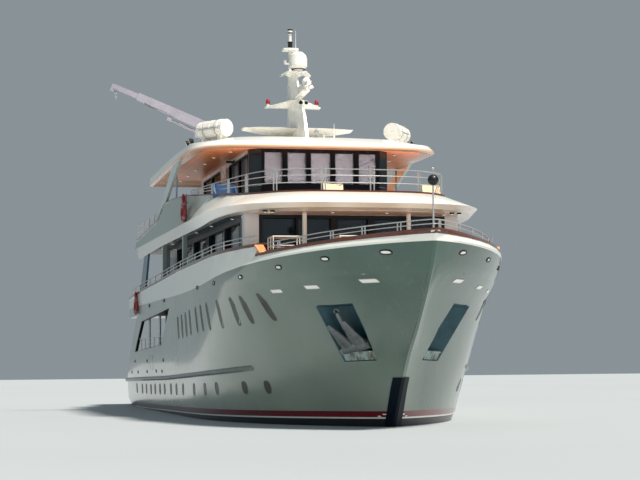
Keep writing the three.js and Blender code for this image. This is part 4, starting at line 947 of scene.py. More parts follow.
def frame_on_wall(shape, axis, face, outward, spans, low, high, margin=0.055, thick=0.014, deep=0.09):
    """Bars round each opening of a flat wall, and strips on its cut edges. The wall lies across axis."""
    a, b = sorted((face + outward * 0.0005, face + outward * thick))

    def bar(s0, s1, z0, z1):
        if axis == "x":
            shape.block((a, s0, z0), (b, s1, z1))
        else:
            shape.block((s0, a, z0), (s1, b, z1))

    for s0, s1 in spans:
        bar(s0 - margin, s0, low - margin, high + margin)
        bar(s1, s1 + margin, low - margin, high + margin)
        bar(s0, s1, low - margin, low)
        bar(s0, s1, high, high + margin)
    a, b = sorted((face + outward * 0.004, face - outward * deep))
    for s0, s1 in spans:
        bar(s0 + 0.001, s0 + 0.012, low + 0.001, high - 0.001)
        bar(s1 - 0.012, s1 - 0.001, low + 0.001, high - 0.001)
        bar(s0 + 0.013, s1 - 0.013, low + 0.001, low + 0.012)
        bar(s0 + 0.013, s1 - 0.013, high - 0.012, high - 0.001)


frames = Shape()
front_panes = [(-2.02, -1.37), (-1.2, -0.52), (-0.36, 0.36), (0.52, 1.2), (1.37, 2.02)]
frame_on_wall(frames, "x", WHEELHOUSE_FRONT_X, 1, front_panes, 8.15, 9.26, 0.085)
frames.block((5.5205, -2.14, 6.9), (5.534, 2.14, 8.065))
frames.block((5.5205, -2.14, 9.345), (5.534, 2.14, 9.384))
for side in (-1, 1):
    side_panes = [(3.3, 4.95), (1.3, 3.1), (-2.5, -0.8), (-4.5, -2.75)]
    frame_on_wall(frames, "y", side * WHEELHOUSE_SIDE_Y, side, side_panes, 8.0, 9.2, 0.05)
frames.piece("wheelhouse_window_frames", navy_finish, "navy", bevel=0.003)
saloon_frames = Shape()
saloon_panes = [(-3.0, -0.73), (-0.51, 0.51), (0.73, 3.0)]
frame_on_wall(saloon_frames, "x", SALOON_FRONT_X, 1, saloon_panes, 4.48, 6.56, 0.11)
for side in (-1, 1):
    bays = [(6.4, 9.3), (3.1, 6.2), (-0.3, 2.9), (-4.6, -0.5)]
    frame_on_wall(saloon_frames, "y", side * SALOON_SIDE_Y, side, bays, 4.9, 6.48, 0.1)
    for x in (7.85, 4.65, 1.3, -2.55):
        saloon_frames.side_block(side, (x - 0.03, 3.5805, 4.9), (x + 0.03, 3.5945, 6.48))
for y in (-1.86, 1.86):
    saloon_frames.block((9.93, y - 0.035, 4.48), (10.012, y + 0.035, 6.56))
saloon_frames.piece("saloon_window_frames", black_finish, "navy", bevel=0.003)
print("framed panes", len(front_panes) + 2 * len(side_panes) + len(saloon_panes) + 2 * len(bays))

# %% [markdown]
# The slanting front corners of the wheelhouse are glass too, and between the saloon's side panes the
# wall is clad in dark glossy panels, so that each side reads as one long dark strip. These claddings
# are thin plates that stand a few millimetres off the walls. The last piece is the strip that closes
# the hardtop's underside between the lining and the outer edge. Its warm colour is painted light, which
# stands for the light that the decks throw up.

# %% Dark cladding and the hardtop's soffit
cladding = Shape()
for side in (-1, 1):
    on_wall = [(5.5208, 2.105), (5.5208, 2.1503), (5.1708, 2.5008), (4.96, 2.5008)]
    proud = [(4.96, 2.509), (5.1745, 2.509), (5.529, 2.1545), (5.529, 2.105)]
    for z0, z1 in ((6.9, 8.075), (8.085, 9.39)):
        cladding.plate([(x, side * y) for x, y in on_wall + proud], z0, z1)
    for x0, x1 in ((3.15, 3.25), (0.55, 1.25), (-0.75, -0.55), (-2.7, -2.55)):
        cladding.side_block(side, (x0, 2.5005, 8.0), (x1, 2.506, 9.2))
    for x0, x1 in ((9.4, 9.56), (2.95, 3.05), (-0.45, -0.35), (-6.6, -4.7)):
        cladding.side_block(side, (x0, 3.5805, 4.8), (x1, 3.588, 6.58))
cladding.piece("dark_cladding", dark_pane, "navy", bevel=0.002)
soffit = Shape()
# painted bounce light: the warm colour of the hardtop's soffit
soffit_bounce_glow = plain_paint("soffit_paint", rgb(238, 206, 184), rgb(226, 190, 166), 0.35, 0.3, 3)
ROOF_LOW_EDGE = [(-6.4, 9.2), (-1.5, 9.33), (3.0, 9.37), (6.5, 9.28)]  # (x, z)
clearance = Vector((0, 0, 0.004))
thickness = Vector((0, 0, 0.006))
inner = [Vector((x, y, ROOF_BOTTOM)) - clearance for x, y in both_sides(roof_edge(0.425))]
outer = [Vector((x, y, read_off(ROOF_LOW_EDGE, x))) - clearance for x, y in both_sides(roof_edge(0.135))]
soffit.loft([[a, b, b - thickness, a - thickness] for a, b in zip(inner, outer)])
soffit.piece("hardtop_soffit", soffit_bounce_glow, "upper_white")
print("cladding faces", len(cladding.faces))

# %% [markdown]
# The anchor pockets are dark blue-green inside, which is painted shade in the deep recess. Each lining
# is a box without a front, set a few millimetres off the pocket's walls: four sides and a back, all of
# them with real thickness. The anchor's crown rubs on the lower lip, so it carries a ribbed plate whose
# paint is worn.

# %% Anchor pockets
POCKET = [(14.75, 3.57), (15.85, 3.61), (15.36, 1.96), (14.46, 1.93)]  # corners as (x, z)
POCKET_MIDDLE = Vector((15.1, 0, 2.77))
POCKET_DEPTH = [1.75, 0.95, 0.22, 0.85]  # y of each corner at the back


def pocket_ring(share, inset):
    """Corners of the pocket at a depth from 0, on the skin, to 1, at the back, taken in by inset."""
    ring = []
    for (x, z), deep in zip(POCKET, POCKET_DEPTH):
        beside_x = x + math.copysign(0.03, x - POCKET_MIDDLE.x)
        near = abs(on_skin(beside_x, z + math.copysign(0.03, z - POCKET_MIDDLE.z)).y)
        y = near + (deep - near) * share
        towards = (POCKET_MIDDLE - Vector((x, 0, z))).normalized()
        ring.append(Vector((x + towards.x * inset, -y, z + towards.z * inset)))
    return ring


lining = Shape()
outer_front, outer_back = pocket_ring(0.0, 0.012), pocket_ring(0.985, 0.012)
inner_front, inner_back = pocket_ring(0.0, 0.026), pocket_ring(0.97, 0.026)
points = outer_back + outer_front + inner_front + inner_back
faces = [[0, 1, 2, 3], [12, 13, 14, 15]]
for layer in range(3):
    for i in range(4):
        j = (i + 1) % 4
        faces.append([layer * 4 + i, layer * 4 + j, layer * 4 + 4 + j, layer * 4 + 4 + i])
lining.add(points, faces)
lining.mirrored().piece("anchor_pocket_linings", pocket_shade_lining, "navy")
lips = Shape()
low_fore, low_aft = pocket_ring(0.06, 0.03)[2:]
up_fore, up_aft = low_fore + Vector((0.07, -0.1, 0.24)), low_aft + Vector((0.04, -0.1, 0.24))
inward = Vector((0.0, 0.03, 0.0))
lip_plate = [low_aft, low_fore, up_fore, up_aft]
lips.loft([lip_plate, [p + inward for p in lip_plate]])
RIBS = 7
for k in range(RIBS):
    share = (k + 0.5) / RIBS
    foot, head = low_aft.lerp(low_fore, share), up_aft.lerp(up_fore, share)
    lips.tube([foot.lerp(head, 0.06), foot.lerp(head, 0.94)], 0.022, 8)
lips.tube([up_aft + Vector((0.03, 0, 0)), up_fore + Vector((-0.03, 0, 0))], 0.035, 12)
worn_paint = Finish("worn_lip_paint", roughness=0.5, metallic=0.1)
worn = worn_paint.noise(7, 8, stretch=(1, 1, 0.25), rough=0.7)
worn_paint.colour(worn_paint.mix(worn_paint.span(worn, 0.46, 0.62), rgb(148, 168, 166), rgb(96, 84, 72)))
worn_paint.bump(worn, 0.003, 0.5)
lips.mirrored().piece("anchor_pocket_lips", worn_paint, "galvanised")
print("pocket linings are", round((inner_front[0] - outer_front[0]).length * 1000), "mm thick")

# %% [markdown]
# The stowed anchor is of the stockless kind: a square shank that goes up into its hawse pipe, and a
# crown at its lower end with two broad flukes that fold up on both sides of the shank. The CAD
# solid is a simple block form of it, and the piece here replaces it with the real casting's faces: a
# ribbed crown, tripping palms and flukes that taper to a point.

# %% Stowed anchor
ANCHOR_TOP = Vector((15.20, -1.86, 3.42))
ANCHOR_CROWN = Vector((14.99, -1.22, 2.42))
shank_up = (ANCHOR_TOP - ANCHOR_CROWN).normalized()
outward = Vector((0.55, -0.83, 0))
outward = (outward - shank_up * outward.dot(shank_up)).normalized()
sideways = shank_up.cross(outward).normalized()


def anchor_point(side, out, high):
    """A point given sideways, outward and up the shank from the crown."""
    return ANCHOR_CROWN + sideways * side + outward * out + shank_up * high


anchor = Shape()
anchor.loft([
    [anchor_point(s * w, o * w, h) for s, o in ((-1, -1), (1, -1), (1, 1), (-1, 1))]
    for h, w in ((0.0, 0.085), (0.5, 0.075), (1.05, 0.062), (1.14, 0.045))
])
anchor.turned(
    anchor_point(-0.36, 0.02, -0.02), sideways, [(0, 0.07), (0.04, 0.1), (0.68, 0.1), (0.72, 0.07)], 12
)
anchor.loft([
    [anchor_point(s * a, o * b, h) for s, o in ((-1, -1), (1, -1), (1, 1), (-1, 1))]
    for h, a, b in ((-0.19, 0.40, 0.07), (-0.12, 0.50, 0.12), (0.02, 0.50, 0.13), (0.09, 0.34, 0.10))
])
for s in (-1, 1):
    rings = []
    for high, near, far, thick, out in (
        (-0.06, 0.05, 0.47, 0.07, 0.05), (0.20, 0.06, 0.45, 0.065, 0.11), (0.50, 0.12, 0.41, 0.05, 0.19),
        (0.80, 0.20, 0.39, 0.035, 0.27), (0.94, 0.25, 0.36, 0.018, 0.30)
    ):
        rings.append([
            anchor_point(s * near, out - thick, high), anchor_point(s * far, out - thick * 0.6, high),
            anchor_point(s * far, out + thick * 0.6, high),
            anchor_point(s * (near + far) / 2, out + thick, high),
            anchor_point(s * near, out + thick * 0.7, high),
        ])
    anchor.loft(rings)
    palm = [
        anchor_point(s * a, o, h)
        for a, o, h in ((0.42, 0.02, -0.12), (0.56, 0.10, -0.16), (0.56, 0.10, 0.02), (0.40, 0.02, 0.08))
    ]
    anchor.loft([palm, [p + outward * 0.05 for p in palm]])
shackle = [
    anchor_point(0.09 * math.cos(t), 0.0, 1.17 + 0.09 * math.sin(t))
    for t in [math.pi * k / 8 for k in range(-1, 10)]
]
anchor.tube(shackle, 0.022, 8)
stowed = anchor.piece("stowed_anchor", anchor_finish, "galvanised", bevel=0.008, smooth=35)
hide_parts("anchor_starboard")
print("anchor stands", round((ANCHOR_TOP - ANCHOR_CROWN).length, 2), "m from crown to head")

# %% [markdown]
# A jackstaff stands on the cap at the stem, with the black ball that ships hoist while they lie at
# anchor. The masthead gets its lamps, horns, aerials and a small dome. These are turned shapes: a profile
# that is spun about an axis, as on a lathe.

# %% Jackstaff and mast fittings
roof_tree = tree_of(("hardtop",))


def roof_z(x, y):
    """Height of the hardtop's upper side."""
    return roof_tree.ray_cast(Vector((x, y, 14)), Vector((0, 0, -1)))[0].z


STAFF_TALL = 1.7
staff = Shape()
staff.turned(
    (18.9, 0, 5.53), (0, 0, 1),
    [(0, 0.07), (0.03, 0.07), (0.04, 0.03), (1.62, 0.018), (1.63, 0.035), (1.67, 0.04), (STAFF_TALL, 0.02)],
    14
)
staff.piece("jackstaff", steel_finish, "steel")
ball = Shape()
ball_profile = [
    (0.15 - 0.15 * math.cos(t), 0.15 * math.sin(t))
    for t in [math.pi * k / 12 for k in range(13)]
]
ball.turned((18.98, -0.02, 6.73), (0, 0, 1), ball_profile, 24)
ball.turned((18.98, -0.02, 6.87), (0, 0, 1), [(0, 0.153), (0.02, 0.153)], 24)
ball.piece("anchor_ball", black_finish, "navy")
mast_lamps, mast_white, red_lamp, aerials = Shape(), Shape(), Shape(), Shape()
for z0, z1, r in ((13.87, 14.13, 0.10), (14.43, 14.61, 0.098)):
    tall = z1 - z0
    mast_lamps.turned(
        (0.6, 0, z0), (0, 0, 1),
        [(0, r), (0.05, r), (0.06, r * 0.86), (tall - 0.06, r * 0.86), (tall - 0.05, r), (tall - 0.004, r)],
        20
    )
mast_lamps.turned((1.6, 0.08, 12.885), (0, 0, 1), [(0, 0.262), (0.03, 0.268), (0.05, 0.262)], 28)
for y in (-0.09, 0.12):
    mast_lamps.turned((2.42, y, 11.44), (1, 0, 0.05), [(0.36, 0.05), (0.37, 0.072), (0.375, 0.03)], 16)
    mast_white.turned(
        (2.42, y, 11.44), (1, 0, 0.05),
        [(0, 0.03), (0.16, 0.03), (0.28, 0.05), (0.36, 0.085), (0.372, 0.085), (0.365, 0.07)], 18
    )
mast_lamps.piece("mast_lamps", black_finish, "navy")
mast_white.turned(
    (2.2, 0.26, 12.22), (0, 0, 1),
    [(0, 0.09), (0.03, 0.15), (0.14, 0.16), (0.24, 0.11), (0.29, 0.04), (0.295, 0.0)], 20
)
mast_white.loft([
    [(1.7, 0.0, 12.2), (2.35, 0.0, 12.2), (2.35, 0.0, 12.13), (1.7, 0.0, 12.1)],
    [(1.85, 0.56, 12.17), (2.15, 0.56, 12.17), (2.15, 0.56, 12.13), (1.85, 0.56, 12.13)],
])
mast_white.block((1.95, 0.44, 12.17), (2.08, 0.54, 12.24))
mast_white.piece("mast_horns_and_dome", canister_finish, "dome", bevel=0.006)
for side in (-1, 1):
    red_lamp.turned(
        (0.92, side * 0.94, 11.66), (0, 0, 1),
        [(0, 0.075), (0.02, 0.08), (0.14, 0.08), (0.18, 0.05), (0.2, 0.02)], 16
    )
red_lamp.piece("mast_red_lamps", red_finish, "glass")
for x, y, tall, r in ((5.0, 0.62, 0.52, 0.014), (5.2, 0.2, 0.16, 0.012), (0.45, 0.25, 0.75, 0.01)):
    foot = 13.85 if x < 0.5 else roof_z(x, y) - 0.01
    aerials.turned(
        (x, y, foot), (0, 0, 1), [(0, r * 2.6), (0.07, r * 2.6), (0.09, r), (tall, r * 0.55)], 10
    )
aerials.piece("whip_aerials", canister_finish, "dome")
searchlight = Shape()
at = Vector((5.3, -0.11, roof_z(5.3, -0.11)))
searchlight.turned(
    at - Vector((0, 0, 0.01)), (0, 0, 1), [(0, 0.07), (0.03, 0.07), (0.04, 0.025), (0.14, 0.025)], 14
)
searchlight.turned(
    at + Vector((-0.09, 0, 0.2)), (1, 0, 0),
    [(0, 0.03), (0.02, 0.07), (0.15, 0.09), (0.17, 0.09), (0.175, 0.075)], 20
)
searchlight.piece("roof_searchlight", steel_finish, "steel")
print("jackstaff", STAFF_TALL, "m tall")

# %% [markdown]
# Ring lifebuoys hang on the outside of the band and of the after bulwark, where they are quick to
# reach. A ring is a tube along a circle, with four paler bands and a grab line round it. A lamp
# hangs over each, on a bracket.


# %% Lifebuoys
def lifebuoy(shape, bands, at, normal, radius=0.30, tube=0.07):
    """A ring with its grab line, flat against a wall with that outward normal."""
    normal = Vector(normal).normalized()
    across = normal.cross(Vector((0, 0, 1))).normalized()
    high = across.cross(normal).normalized()
    high *= math.copysign(1, high.z)

    def ring(r, lift, start=0.0, end=2 * math.pi, steps=32, closed=True):
        turns = [start + (end - start) * k / (steps if closed else steps - 1) for k in range(steps)]
        return [Vector(at) + normal * lift + (across * math.cos(t) + high * math.sin(t)) * r for t in turns]

    shape.tube(ring(radius, tube), tube, 12, closed=True)
    for quarter_turn in range(4):
        t = math.pi / 4 + quarter_turn * math.pi / 2
        bands.tube(ring(radius, tube, t - 0.14, t + 0.14, 5, False), tube + 0.004, 12)
        t += 0.14
        line = ring(radius + tube, tube, t, t + math.pi / 2 - 0.28, 8, False)
        sag = [
            p + (p - Vector(at)).normalized() * 0.03 * math.sin(math.pi * k / 7)
            for k, p in enumerate(line)
        ]
        bands.tube(sag, 0.008, 6)


buoys, buoy_bands = Shape(), Shape()
for x, y, z in ((3.6, -4.50, 7.3), (-10.8, -4.42, 4.42)):
    lifebuoy(buoys, buoy_bands, (x, y, z), (0, -1, 0.02))
    buoys.turned(
        (x, y - 0.08, z + 0.37), (0, 0, 1),
        [(0, 0.045), (0.01, 0.06), (0.2, 0.06), (0.22, 0.035), (0.26, 0.03)], 14
    )
    buoy_bands.block((x - 0.03, y - 0.02, z + 0.28), (x + 0.03, y + 0.06, z + 0.62))
buoys.mirrored().piece("lifebuoys", red_finish, "dome")
band_cloth = plain_paint("lifebuoy_cloth", rgb(168, 128, 128), rgb(148, 108, 110), 0.6, 0.0, 20)
buoy_bands.mirrored().piece("lifebuoy_bands", band_cloth, "dome")
print("lifebuoys", 4)

# %% [markdown]
# Below the overhang of the cap rail runs a dark wooden moulding, which gives the bulwark its strong
# dark outline against the sky. Where the higher side rail steps down to the bow rail, a sloping teak
# board closes the step. The bow's moulding runs round the stem in one piece.

# %% Cap mouldings and step boards
moulding = Shape()
STEM_TOP_X = 19.15  # the stem at the height of the moulding
bow_curve = [13.23 + (18.98 - 13.23) * math.sin(i / 44 * math.pi / 2) for i in range(45)]


def moulding_ring(x, top, deep):
    """A rectangular section under the cap at x, partly let into the bulwark."""
    low, high = on_skin(x, top - deep).y, on_skin(x, top - 0.012).y
    return [
        Vector((x, low + 0.012, top - deep)), Vector((x, low - 0.02, top - deep)),
        Vector((x, high - 0.024, top - 0.003)), Vector((x, high + 0.012, top - 0.003)),
    ]


half = [moulding_ring(x, read_off(BOW_TOP, x), 0.085) for x in bow_curve]
top = read_off(BOW_TOP, STEM_TOP_X)
stem_section = ((-0.02, top - 0.085), (0.02, top - 0.085), (0.024, top - 0.003), (-0.02, top - 0.003))
stem_ring = [Vector((STEM_TOP_X + out, 0, z)) for out, z in stem_section]
port_half = [[Vector((p.x, -p.y, p.z)) for p in ring] for ring in half[::-1]]
moulding.loft(half + [stem_ring] + port_half)
side_curve = [13.18 - i * (13.18 + 15.36) / 80 for i in range(81)]
side_moulding = Shape()
side_moulding.loft([moulding_ring(x, read_off(SIDE_TOP, x), 0.05) for x in side_curve])
moulding.join(side_moulding.mirrored())
moulding.piece("cap_mouldings", cap_finish, "cap_wood")
board = Shape()
step_outer = abs(on_skin(13.25, 5.1).y) + 0.03
plan = [
    (13.203, step_outer), (13.46, step_outer - 0.10), (13.46, step_outer - 0.34),
    (13.203, step_outer - 0.28)
]
heights = [5.47, 5.25, 5.25, 5.47]
top_ring = [(x, -y, z) for (x, y), z in zip(plan, heights)]
board.loft([[(x, y, z - 0.05) for x, y, z in top_ring], top_ring])
board.mirrored().piece("step_boards", ceiling_finish, "teak", bevel=0.006)
print("mouldings", len(moulding.faces), "faces")

# %% [markdown]
# Behind the wheelhouse's panes hang pale roller blinds: short ones in front, and at the sides ones that
# come half way down. The helm's screens, wheel and chairs stand behind them. The doors get their own
# panes, lever handles and trims, which move with the door because they ride on its body.

# %% Wheelhouse and saloon fit-out
blinds, blind_bars = Shape(), Shape()
for y0, y1 in front_panes:
    blinds.plate([(5.36, y0 + 0.03), (5.368, y0 + 0.03), (5.368, y1 - 0.03), (5.36, y1 - 0.03)], 9.06, 9.25)
    blind_bars.tube([(5.366, y0 + 0.03, 9.055), (5.366, y1 - 0.03, 9.055)], 0.012)
for side in (-1, 1):
    for x0, x1 in side_panes[:2]:
        blinds.side_block(side, (x0 + 0.03, 2.34, 8.62), (x1 - 0.03, 2.348, 9.2))
        blind_bars.tube([(x0 + 0.03, side * 2.345, 8.615), (x1 - 0.03, side * 2.345, 8.615)], 0.012)
blind_cloth = plain_paint("blind_screen", rgb(226, 224, 222), rgb(206, 204, 204), 0.8, 0.0, 30)
blinds.piece("wheelhouse_blinds", blind_cloth, "upper_white")
blind_bars.piece("wheelhouse_blind_bars", steel_finish, "steel")
helm_screens = Shape()
for y0, y1, top in ((-1.6, -1.0, 8.42), (-0.9, -0.1, 8.46), (0.1, 0.9, 8.46), (1.0, 1.6, 8.42)):
    helm_screens.block((4.3, y0, 8.052), (4.34, y1, top))
helm_screens.piece("helm_screens", black_finish, "navy", bevel=0.012)
wheel = Shape()
hub = Vector((4.02, 0.0, 7.86))
circle = [hub + Vector((0, math.cos(t), math.sin(t))) * 0.26 for t in full_turn(28)]
wheel.tube(circle, 0.02, 8, closed=True)
for t in full_turn(6):
    spoke = Vector((0, math.cos(t), math.sin(t)))
    wheel.tube([hub + spoke * 0.04, hub + spoke * 0.25], 0.013)
wheel.turned(hub - Vector((0.03, 0, 0)), (1, 0, 0), [(0, 0.05), (0.03, 0.06), (0.17, 0.045)], 16)
wheel.piece("helm_wheel", cap_finish, "cap_wood")
chairs = Shape()
for y in (-0.75, 0.75):
    chairs.turned((3.3, y, 6.885), (0, 0, 1), [(0, 0.26), (0.03, 0.26), (0.05, 0.06), (0.55, 0.06)], 20)
    chairs.block((3.02, y - 0.26, 7.43), (3.56, y + 0.26, 7.55))
    chairs.loft([
        [
            (x, y + w, z)
            for x, w in (
                (3.02 - lean, -wide), (3.12 - lean, -wide), (3.12 - lean, wide), (3.02 - lean, wide)
            )
        ]
        for z, wide, lean in ((7.52, 0.25, 0.0), (7.9, 0.26, 0.05), (8.25, 0.2, 0.10))
    ])
    for w in (-0.3, 0.24):
        chairs.block((3.1, y + w, 7.66), (3.45, y + w + 0.06, 7.71))
        chairs.block((3.12, y + w, 7.5), (3.18, y + w + 0.06, 7.68))
chairs.piece("helm_chairs", black_finish, "navy", bevel=0.02)
for side, name in ((-1, "starboard"), (1, "port")):
    pane, lever = Shape(), Shape()
    pane.block((-0.299, side * 2.471 - 0.005, 7.901), (0.299, side * 2.471 + 0.005, 8.699))
    pane.piece("wheelhouse_door_pane_" + name, glass_finish, "glass", body="wheelhouse_door_" + name)
    plate = [(0, 0.03), (0.008, 0.03), (0.012, 0.012), (0.05, 0.012)]
    for face, way, near, far in ((2.4955, 1, 2.54, 2.545), (2.4395, -1, 2.395, 2.39)):
        lever.turned((-0.39, side * face, 7.95), (0, side * way, 0), plate, 14)
        lever.tube([(-0.39, side * near, 7.95), (-0.27, side * far, 7.95)], 0.011)
    lever.piece("wheelhouse_door_handle_" + name, steel_finish, "steel", body="wheelhouse_door_" + name)
    trim = Shape()
    y0, y1 = sorted((side * 0.012, side * 1.22))
    for low, high in (
        ((y0, 4.36), (y0 + 0.05, 6.49)), ((y1 - 0.05, 4.36), (y1, 6.49)),
        ((y0 + 0.05, 4.36), (y1 - 0.05, 4.44)), ((y0 + 0.05, 6.43), (y1 - 0.05, 6.49)),
    ):
        for x0, x1 in ((-8.8872, -8.8845), (-8.8385, -8.8345)):
            trim.block((x0, *low), (x1, *high))
    pull = y0 + 0.09 if side > 0 else y1 - 0.09
    trim.tube([(-8.8, pull, 5.2), (-8.8, pull, 5.7)], 0.012)
    for z in (5.22, 5.68):
        trim.tube([(-8.836, pull, z), (-8.8, pull, z)], 0.009)
    trim.piece("saloon_door_trim_" + name, steel_finish, "steel", body="saloon_door_" + name)
print("door handles", 4)

# %% [markdown]
# Behind the big openings in the sides lies the covered after deck, close to the water. It has a teak
# sole, a wall of dark sliding glass ahead, and a black frame round each opening. Two pillars a side
# carry the deck above. Dark screens stand inside the forward end of each side, a bench runs along the
# glass, and there are two round tables with four low chairs.

# %% Covered after deck
OPENING = [(-12.3, 2.43), (-9.3, 3.72), (-0.95, 4.02), (-3.25, 2.64)]  # corners as (x, z)
OPENING_MIDDLE = Vector((-6.4, 0, 3.2))
TERRACE_DECK = 1.926
sole = Shape()
sole_edge = [(x, on_skin(x, 1.85).y + 0.16) for x in (-15.95, -13.5, -11, -8, -5, -2, -0.72)]
sole.plate(and_back(sole_edge), 1.903, 1.925)
sole.piece("terrace_sole", teak_finish, "teak")
wall_glass, wall_frame = Shape(), Shape()
for k in range(6):
    y0 = -3.9 + k * 1.3
    wall_glass.block((-0.68, y0 + 0.05, 1.99), (-0.665, y0 + 1.25, 4.11))
    for y in (y0, y0 + 1.25):
        wall_frame.block((-0.70, y, 1.93), (-0.645, y + 0.05, 4.17))
    wall_frame.block((-0.70, y0 + 0.05, 4.11), (-0.645, y0 + 1.25, 4.17))
    wall_frame.block((-0.70, y0 + 0.05, 1.93), (-0.645, y0 + 1.25, 1.99))
wall_glass.piece("terrace_front_glass", dark_pane, "glass")
wall_frame.piece("terrace_front_frames", black_finish, "navy", bevel=0.004)
opening_frame = Shape()
for k in range(4):
    (x0, z0), (x1, z1) = OPENING[k], OPENING[(k + 1) % 4]
    strip = []
    for share in (0.01, 0.5, 0.99):
        x, z = x0 + (x1 - x0) * share, z0 + (z1 - z0) * share
        towards = (OPENING_MIDDLE - Vector((x, 0, z))).normalized()
        y = on_skin(x - towards.x * 0.04, z - towards.z * 0.04).y
        a, b = Vector((x, y + 0.004, z)), Vector((x + towards.x * 0.06, y + 0.004, z + towards.z * 0.06))
        a += (b - a) * 0.05
        strip.append([a, b, b + Vector((0, 0.115, 0)), a + Vector((0, 0.115, 0))])
    opening_frame.loft(strip)
opening_frame.mirrored().piece("terrace_opening_frames", black_finish, "navy")
pillars = Shape()
for x in (-5.4, -8.6):
    pillars.turned(
        (x, on_skin(x, 1.85).y + 0.22, TERRACE_DECK), (0, 0, 1),
        [(0, 0.075), (0.02, 0.075), (0.03, 0.05), (2.2, 0.05), (2.21, 0.07), (2.255, 0.07)], 18
    )
pillars.mirrored().piece("terrace_pillars", steel_finish, "steel")
screens, screen_frames = Shape(), Shape()
for x0, x1 in ((-5.3, -3.8), (-3.75, -2.25), (-2.2, -0.72)):
    screens.block((x0 + 0.03, -3.96, 1.96), (x1 - 0.03, -3.945, 4.14))
    for a, b, low, high in (
        (x0, x0 + 0.03, TERRACE_DECK, 4.18), (x1 - 0.03, x1, TERRACE_DECK, 4.18),
        (x0 + 0.03, x1 - 0.03, TERRACE_DECK, 1.96), (x0 + 0.03, x1 - 0.03, 4.14, 4.18),
    ):
        screen_frames.block((a, -3.97, low), (b, -3.935, high))
screens.mirrored().piece("terrace_side_screens", dark_pane, "glass")
screen_frames.mirrored().piece("terrace_screen_frames", black_finish, "navy", bevel=0.003)
bench = Shape()
bench.block((-1.45, -3.0, 2.28), (-0.8, 3.0, 2.33))
for y in (-2.9, -1.45, 0.0, 1.45, 2.9):
    bench.block((-1.38, y - 0.03, TERRACE_DECK), (-0.86, y + 0.03, 2.279))
for y in (-1.6, 1.6):
    bench.turned(
        (-6.0, y, TERRACE_DECK), (0, 0, 1),
        [(0, 0.28), (0.03, 0.28), (0.05, 0.05), (0.44, 0.05), (0.46, 0.4), (0.5, 0.4)], 28
    )
bench.piece("terrace_bench_and_tables", cap_finish, "cap_wood", bevel=0.008)


def deck_chair(shape, x, y, z, turn, wide=0.3):
    """A chair of slats on a folding frame, its seat 0.42 m up, facing along turn in degrees."""
    made = Shape()
    for side in (-wide, wide - 0.03):
        made.block((-0.26, side, 0.38), (0.28, side + 0.03, 0.42))
        made.slab([(-0.24, 0.0), (-0.2, 0.0), (0.27, 0.39), (0.23, 0.39)], side, side + 0.03)
        made.slab([(0.24, 0.0), (0.28, 0.0), (-0.3, 0.92), (-0.34, 0.92)], side, side + 0.03)
        made.block((-0.24, side - 0.005, 0.62), (0.2, side + 0.045, 0.645))
    for k in range(7):
        made.block((-0.22 + k * 0.07, -wide + 0.03, 0.422), (-0.165 + k * 0.07, wide - 0.03, 0.438))
    for k in range(6):
        low = 0.48 + k * 0.075
        back = -0.05 - (low - 0.42) * 0.55
        high = low + 0.055
        slat = [(back, low), (back + 0.012, low), (back - 0.02, high), (back - 0.032, high)]
        made.slab(slat, -wide + 0.03, wide - 0.03)
    shape.join(made, placed_at(x, y, z, turn))


low_chairs = Shape()
for x, y, turn in ((-5.2, -1.6, 180), (-6.8, -1.6, 0), (-5.2, 1.6, 180), (-6.8, 1.6, 0)):
    deck_chair(low_chairs, x, y, TERRACE_DECK, turn)
low_chairs.piece("terrace_chairs", cap_finish, "cap_wood")
print("chair faces", len(low_chairs.faces))

# %% [markdown]
# Furniture stands on the open decks: three white tubular tables on the foredeck, two beige moulded
# loungers in front of the wheelhouse, one of them with a blue head rest, three blue armchairs beside
# the wheelhouse, and a dining table with six chairs aft. The lounger is a curved shell, so it is lofted
# along its own profile.

# %% Deck furniture
beige_shell = plain_paint("beige_moulding", rgb(232, 208, 176), rgb(216, 190, 156), 0.5, 0.1, 20)
blue_shell = plain_paint("blue_moulding", rgb(48, 84, 128), rgb(38, 70, 112), 0.5, 0.1, 20)
UPPER_DECK = 4.381  # upper side of its teak, from the foredeck to the stern
BRIDGE_SOLE = 6.881
tables = Shape()
for x0, x1, y0, y1 in ((11.6, 12.4, -3.14, -2.22), (11.7, 12.4, -1.03, -0.27), (11.7, 12.4, 1.3, 2.1)):
    top = UPPER_DECK + (1.41 if y0 < -2 else 1.44)
    frame_line = [(x0, y0, top), (x1, y0, top), (x1, y1, top), (x0, y1, top)]
    tables.tube(frame_line, 0.02, 8, closed=True)
    tables.tube([(x, y, z - 0.28) for x, y, z in frame_line], 0.014, 8, closed=True)
    for x, y, z in frame_line + [((x0 + x1) / 2, y0, top), ((x0 + x1) / 2, y1, top)]:
        tables.tube([(x, y, UPPER_DECK), (x, y, z)], 0.018)
    tables.block((x0 + 0.02, y0 + 0.02, top - 0.012), (x1 - 0.02, y1 - 0.02, top + 0.012))
tables.piece("foredeck_tables", canister_finish, "upper_white")


def lounger(shape, x, y, wide, back_height):
    """A moulded lounger that faces the bow, with its back raised. x is the foot end."""
    profile = [(0.0, 0.30), (-0.5, 0.33), (-1.05, 0.30), (-1.3, 0.36), (-1.45, 0.55), (-1.58, back_height)]
    thick = 0.07
    rings = []
    for px, pz in profile:
        high = BRIDGE_SOLE + pz
        rings.append([
            (x + px, y - wide / 2, high), (x + px + 0.02, y, high - 0.02), (x + px, y + wide / 2, high),
            (x + px - thick * 0.5, y + wide / 2 - 0.02, high - thick),
            (x + px - thick * 0.5, y - wide / 2 + 0.02, high - thick),
        ])
    shape.loft(rings)
    for a in (-0.15, -1.15):
        for b in (-wide / 2 + 0.06, wide / 2 - 0.06):
            shape.tube([(x + a, y + b, BRIDGE_SOLE), (x + a, y + b, BRIDGE_SOLE + 0.27)], 0.02)


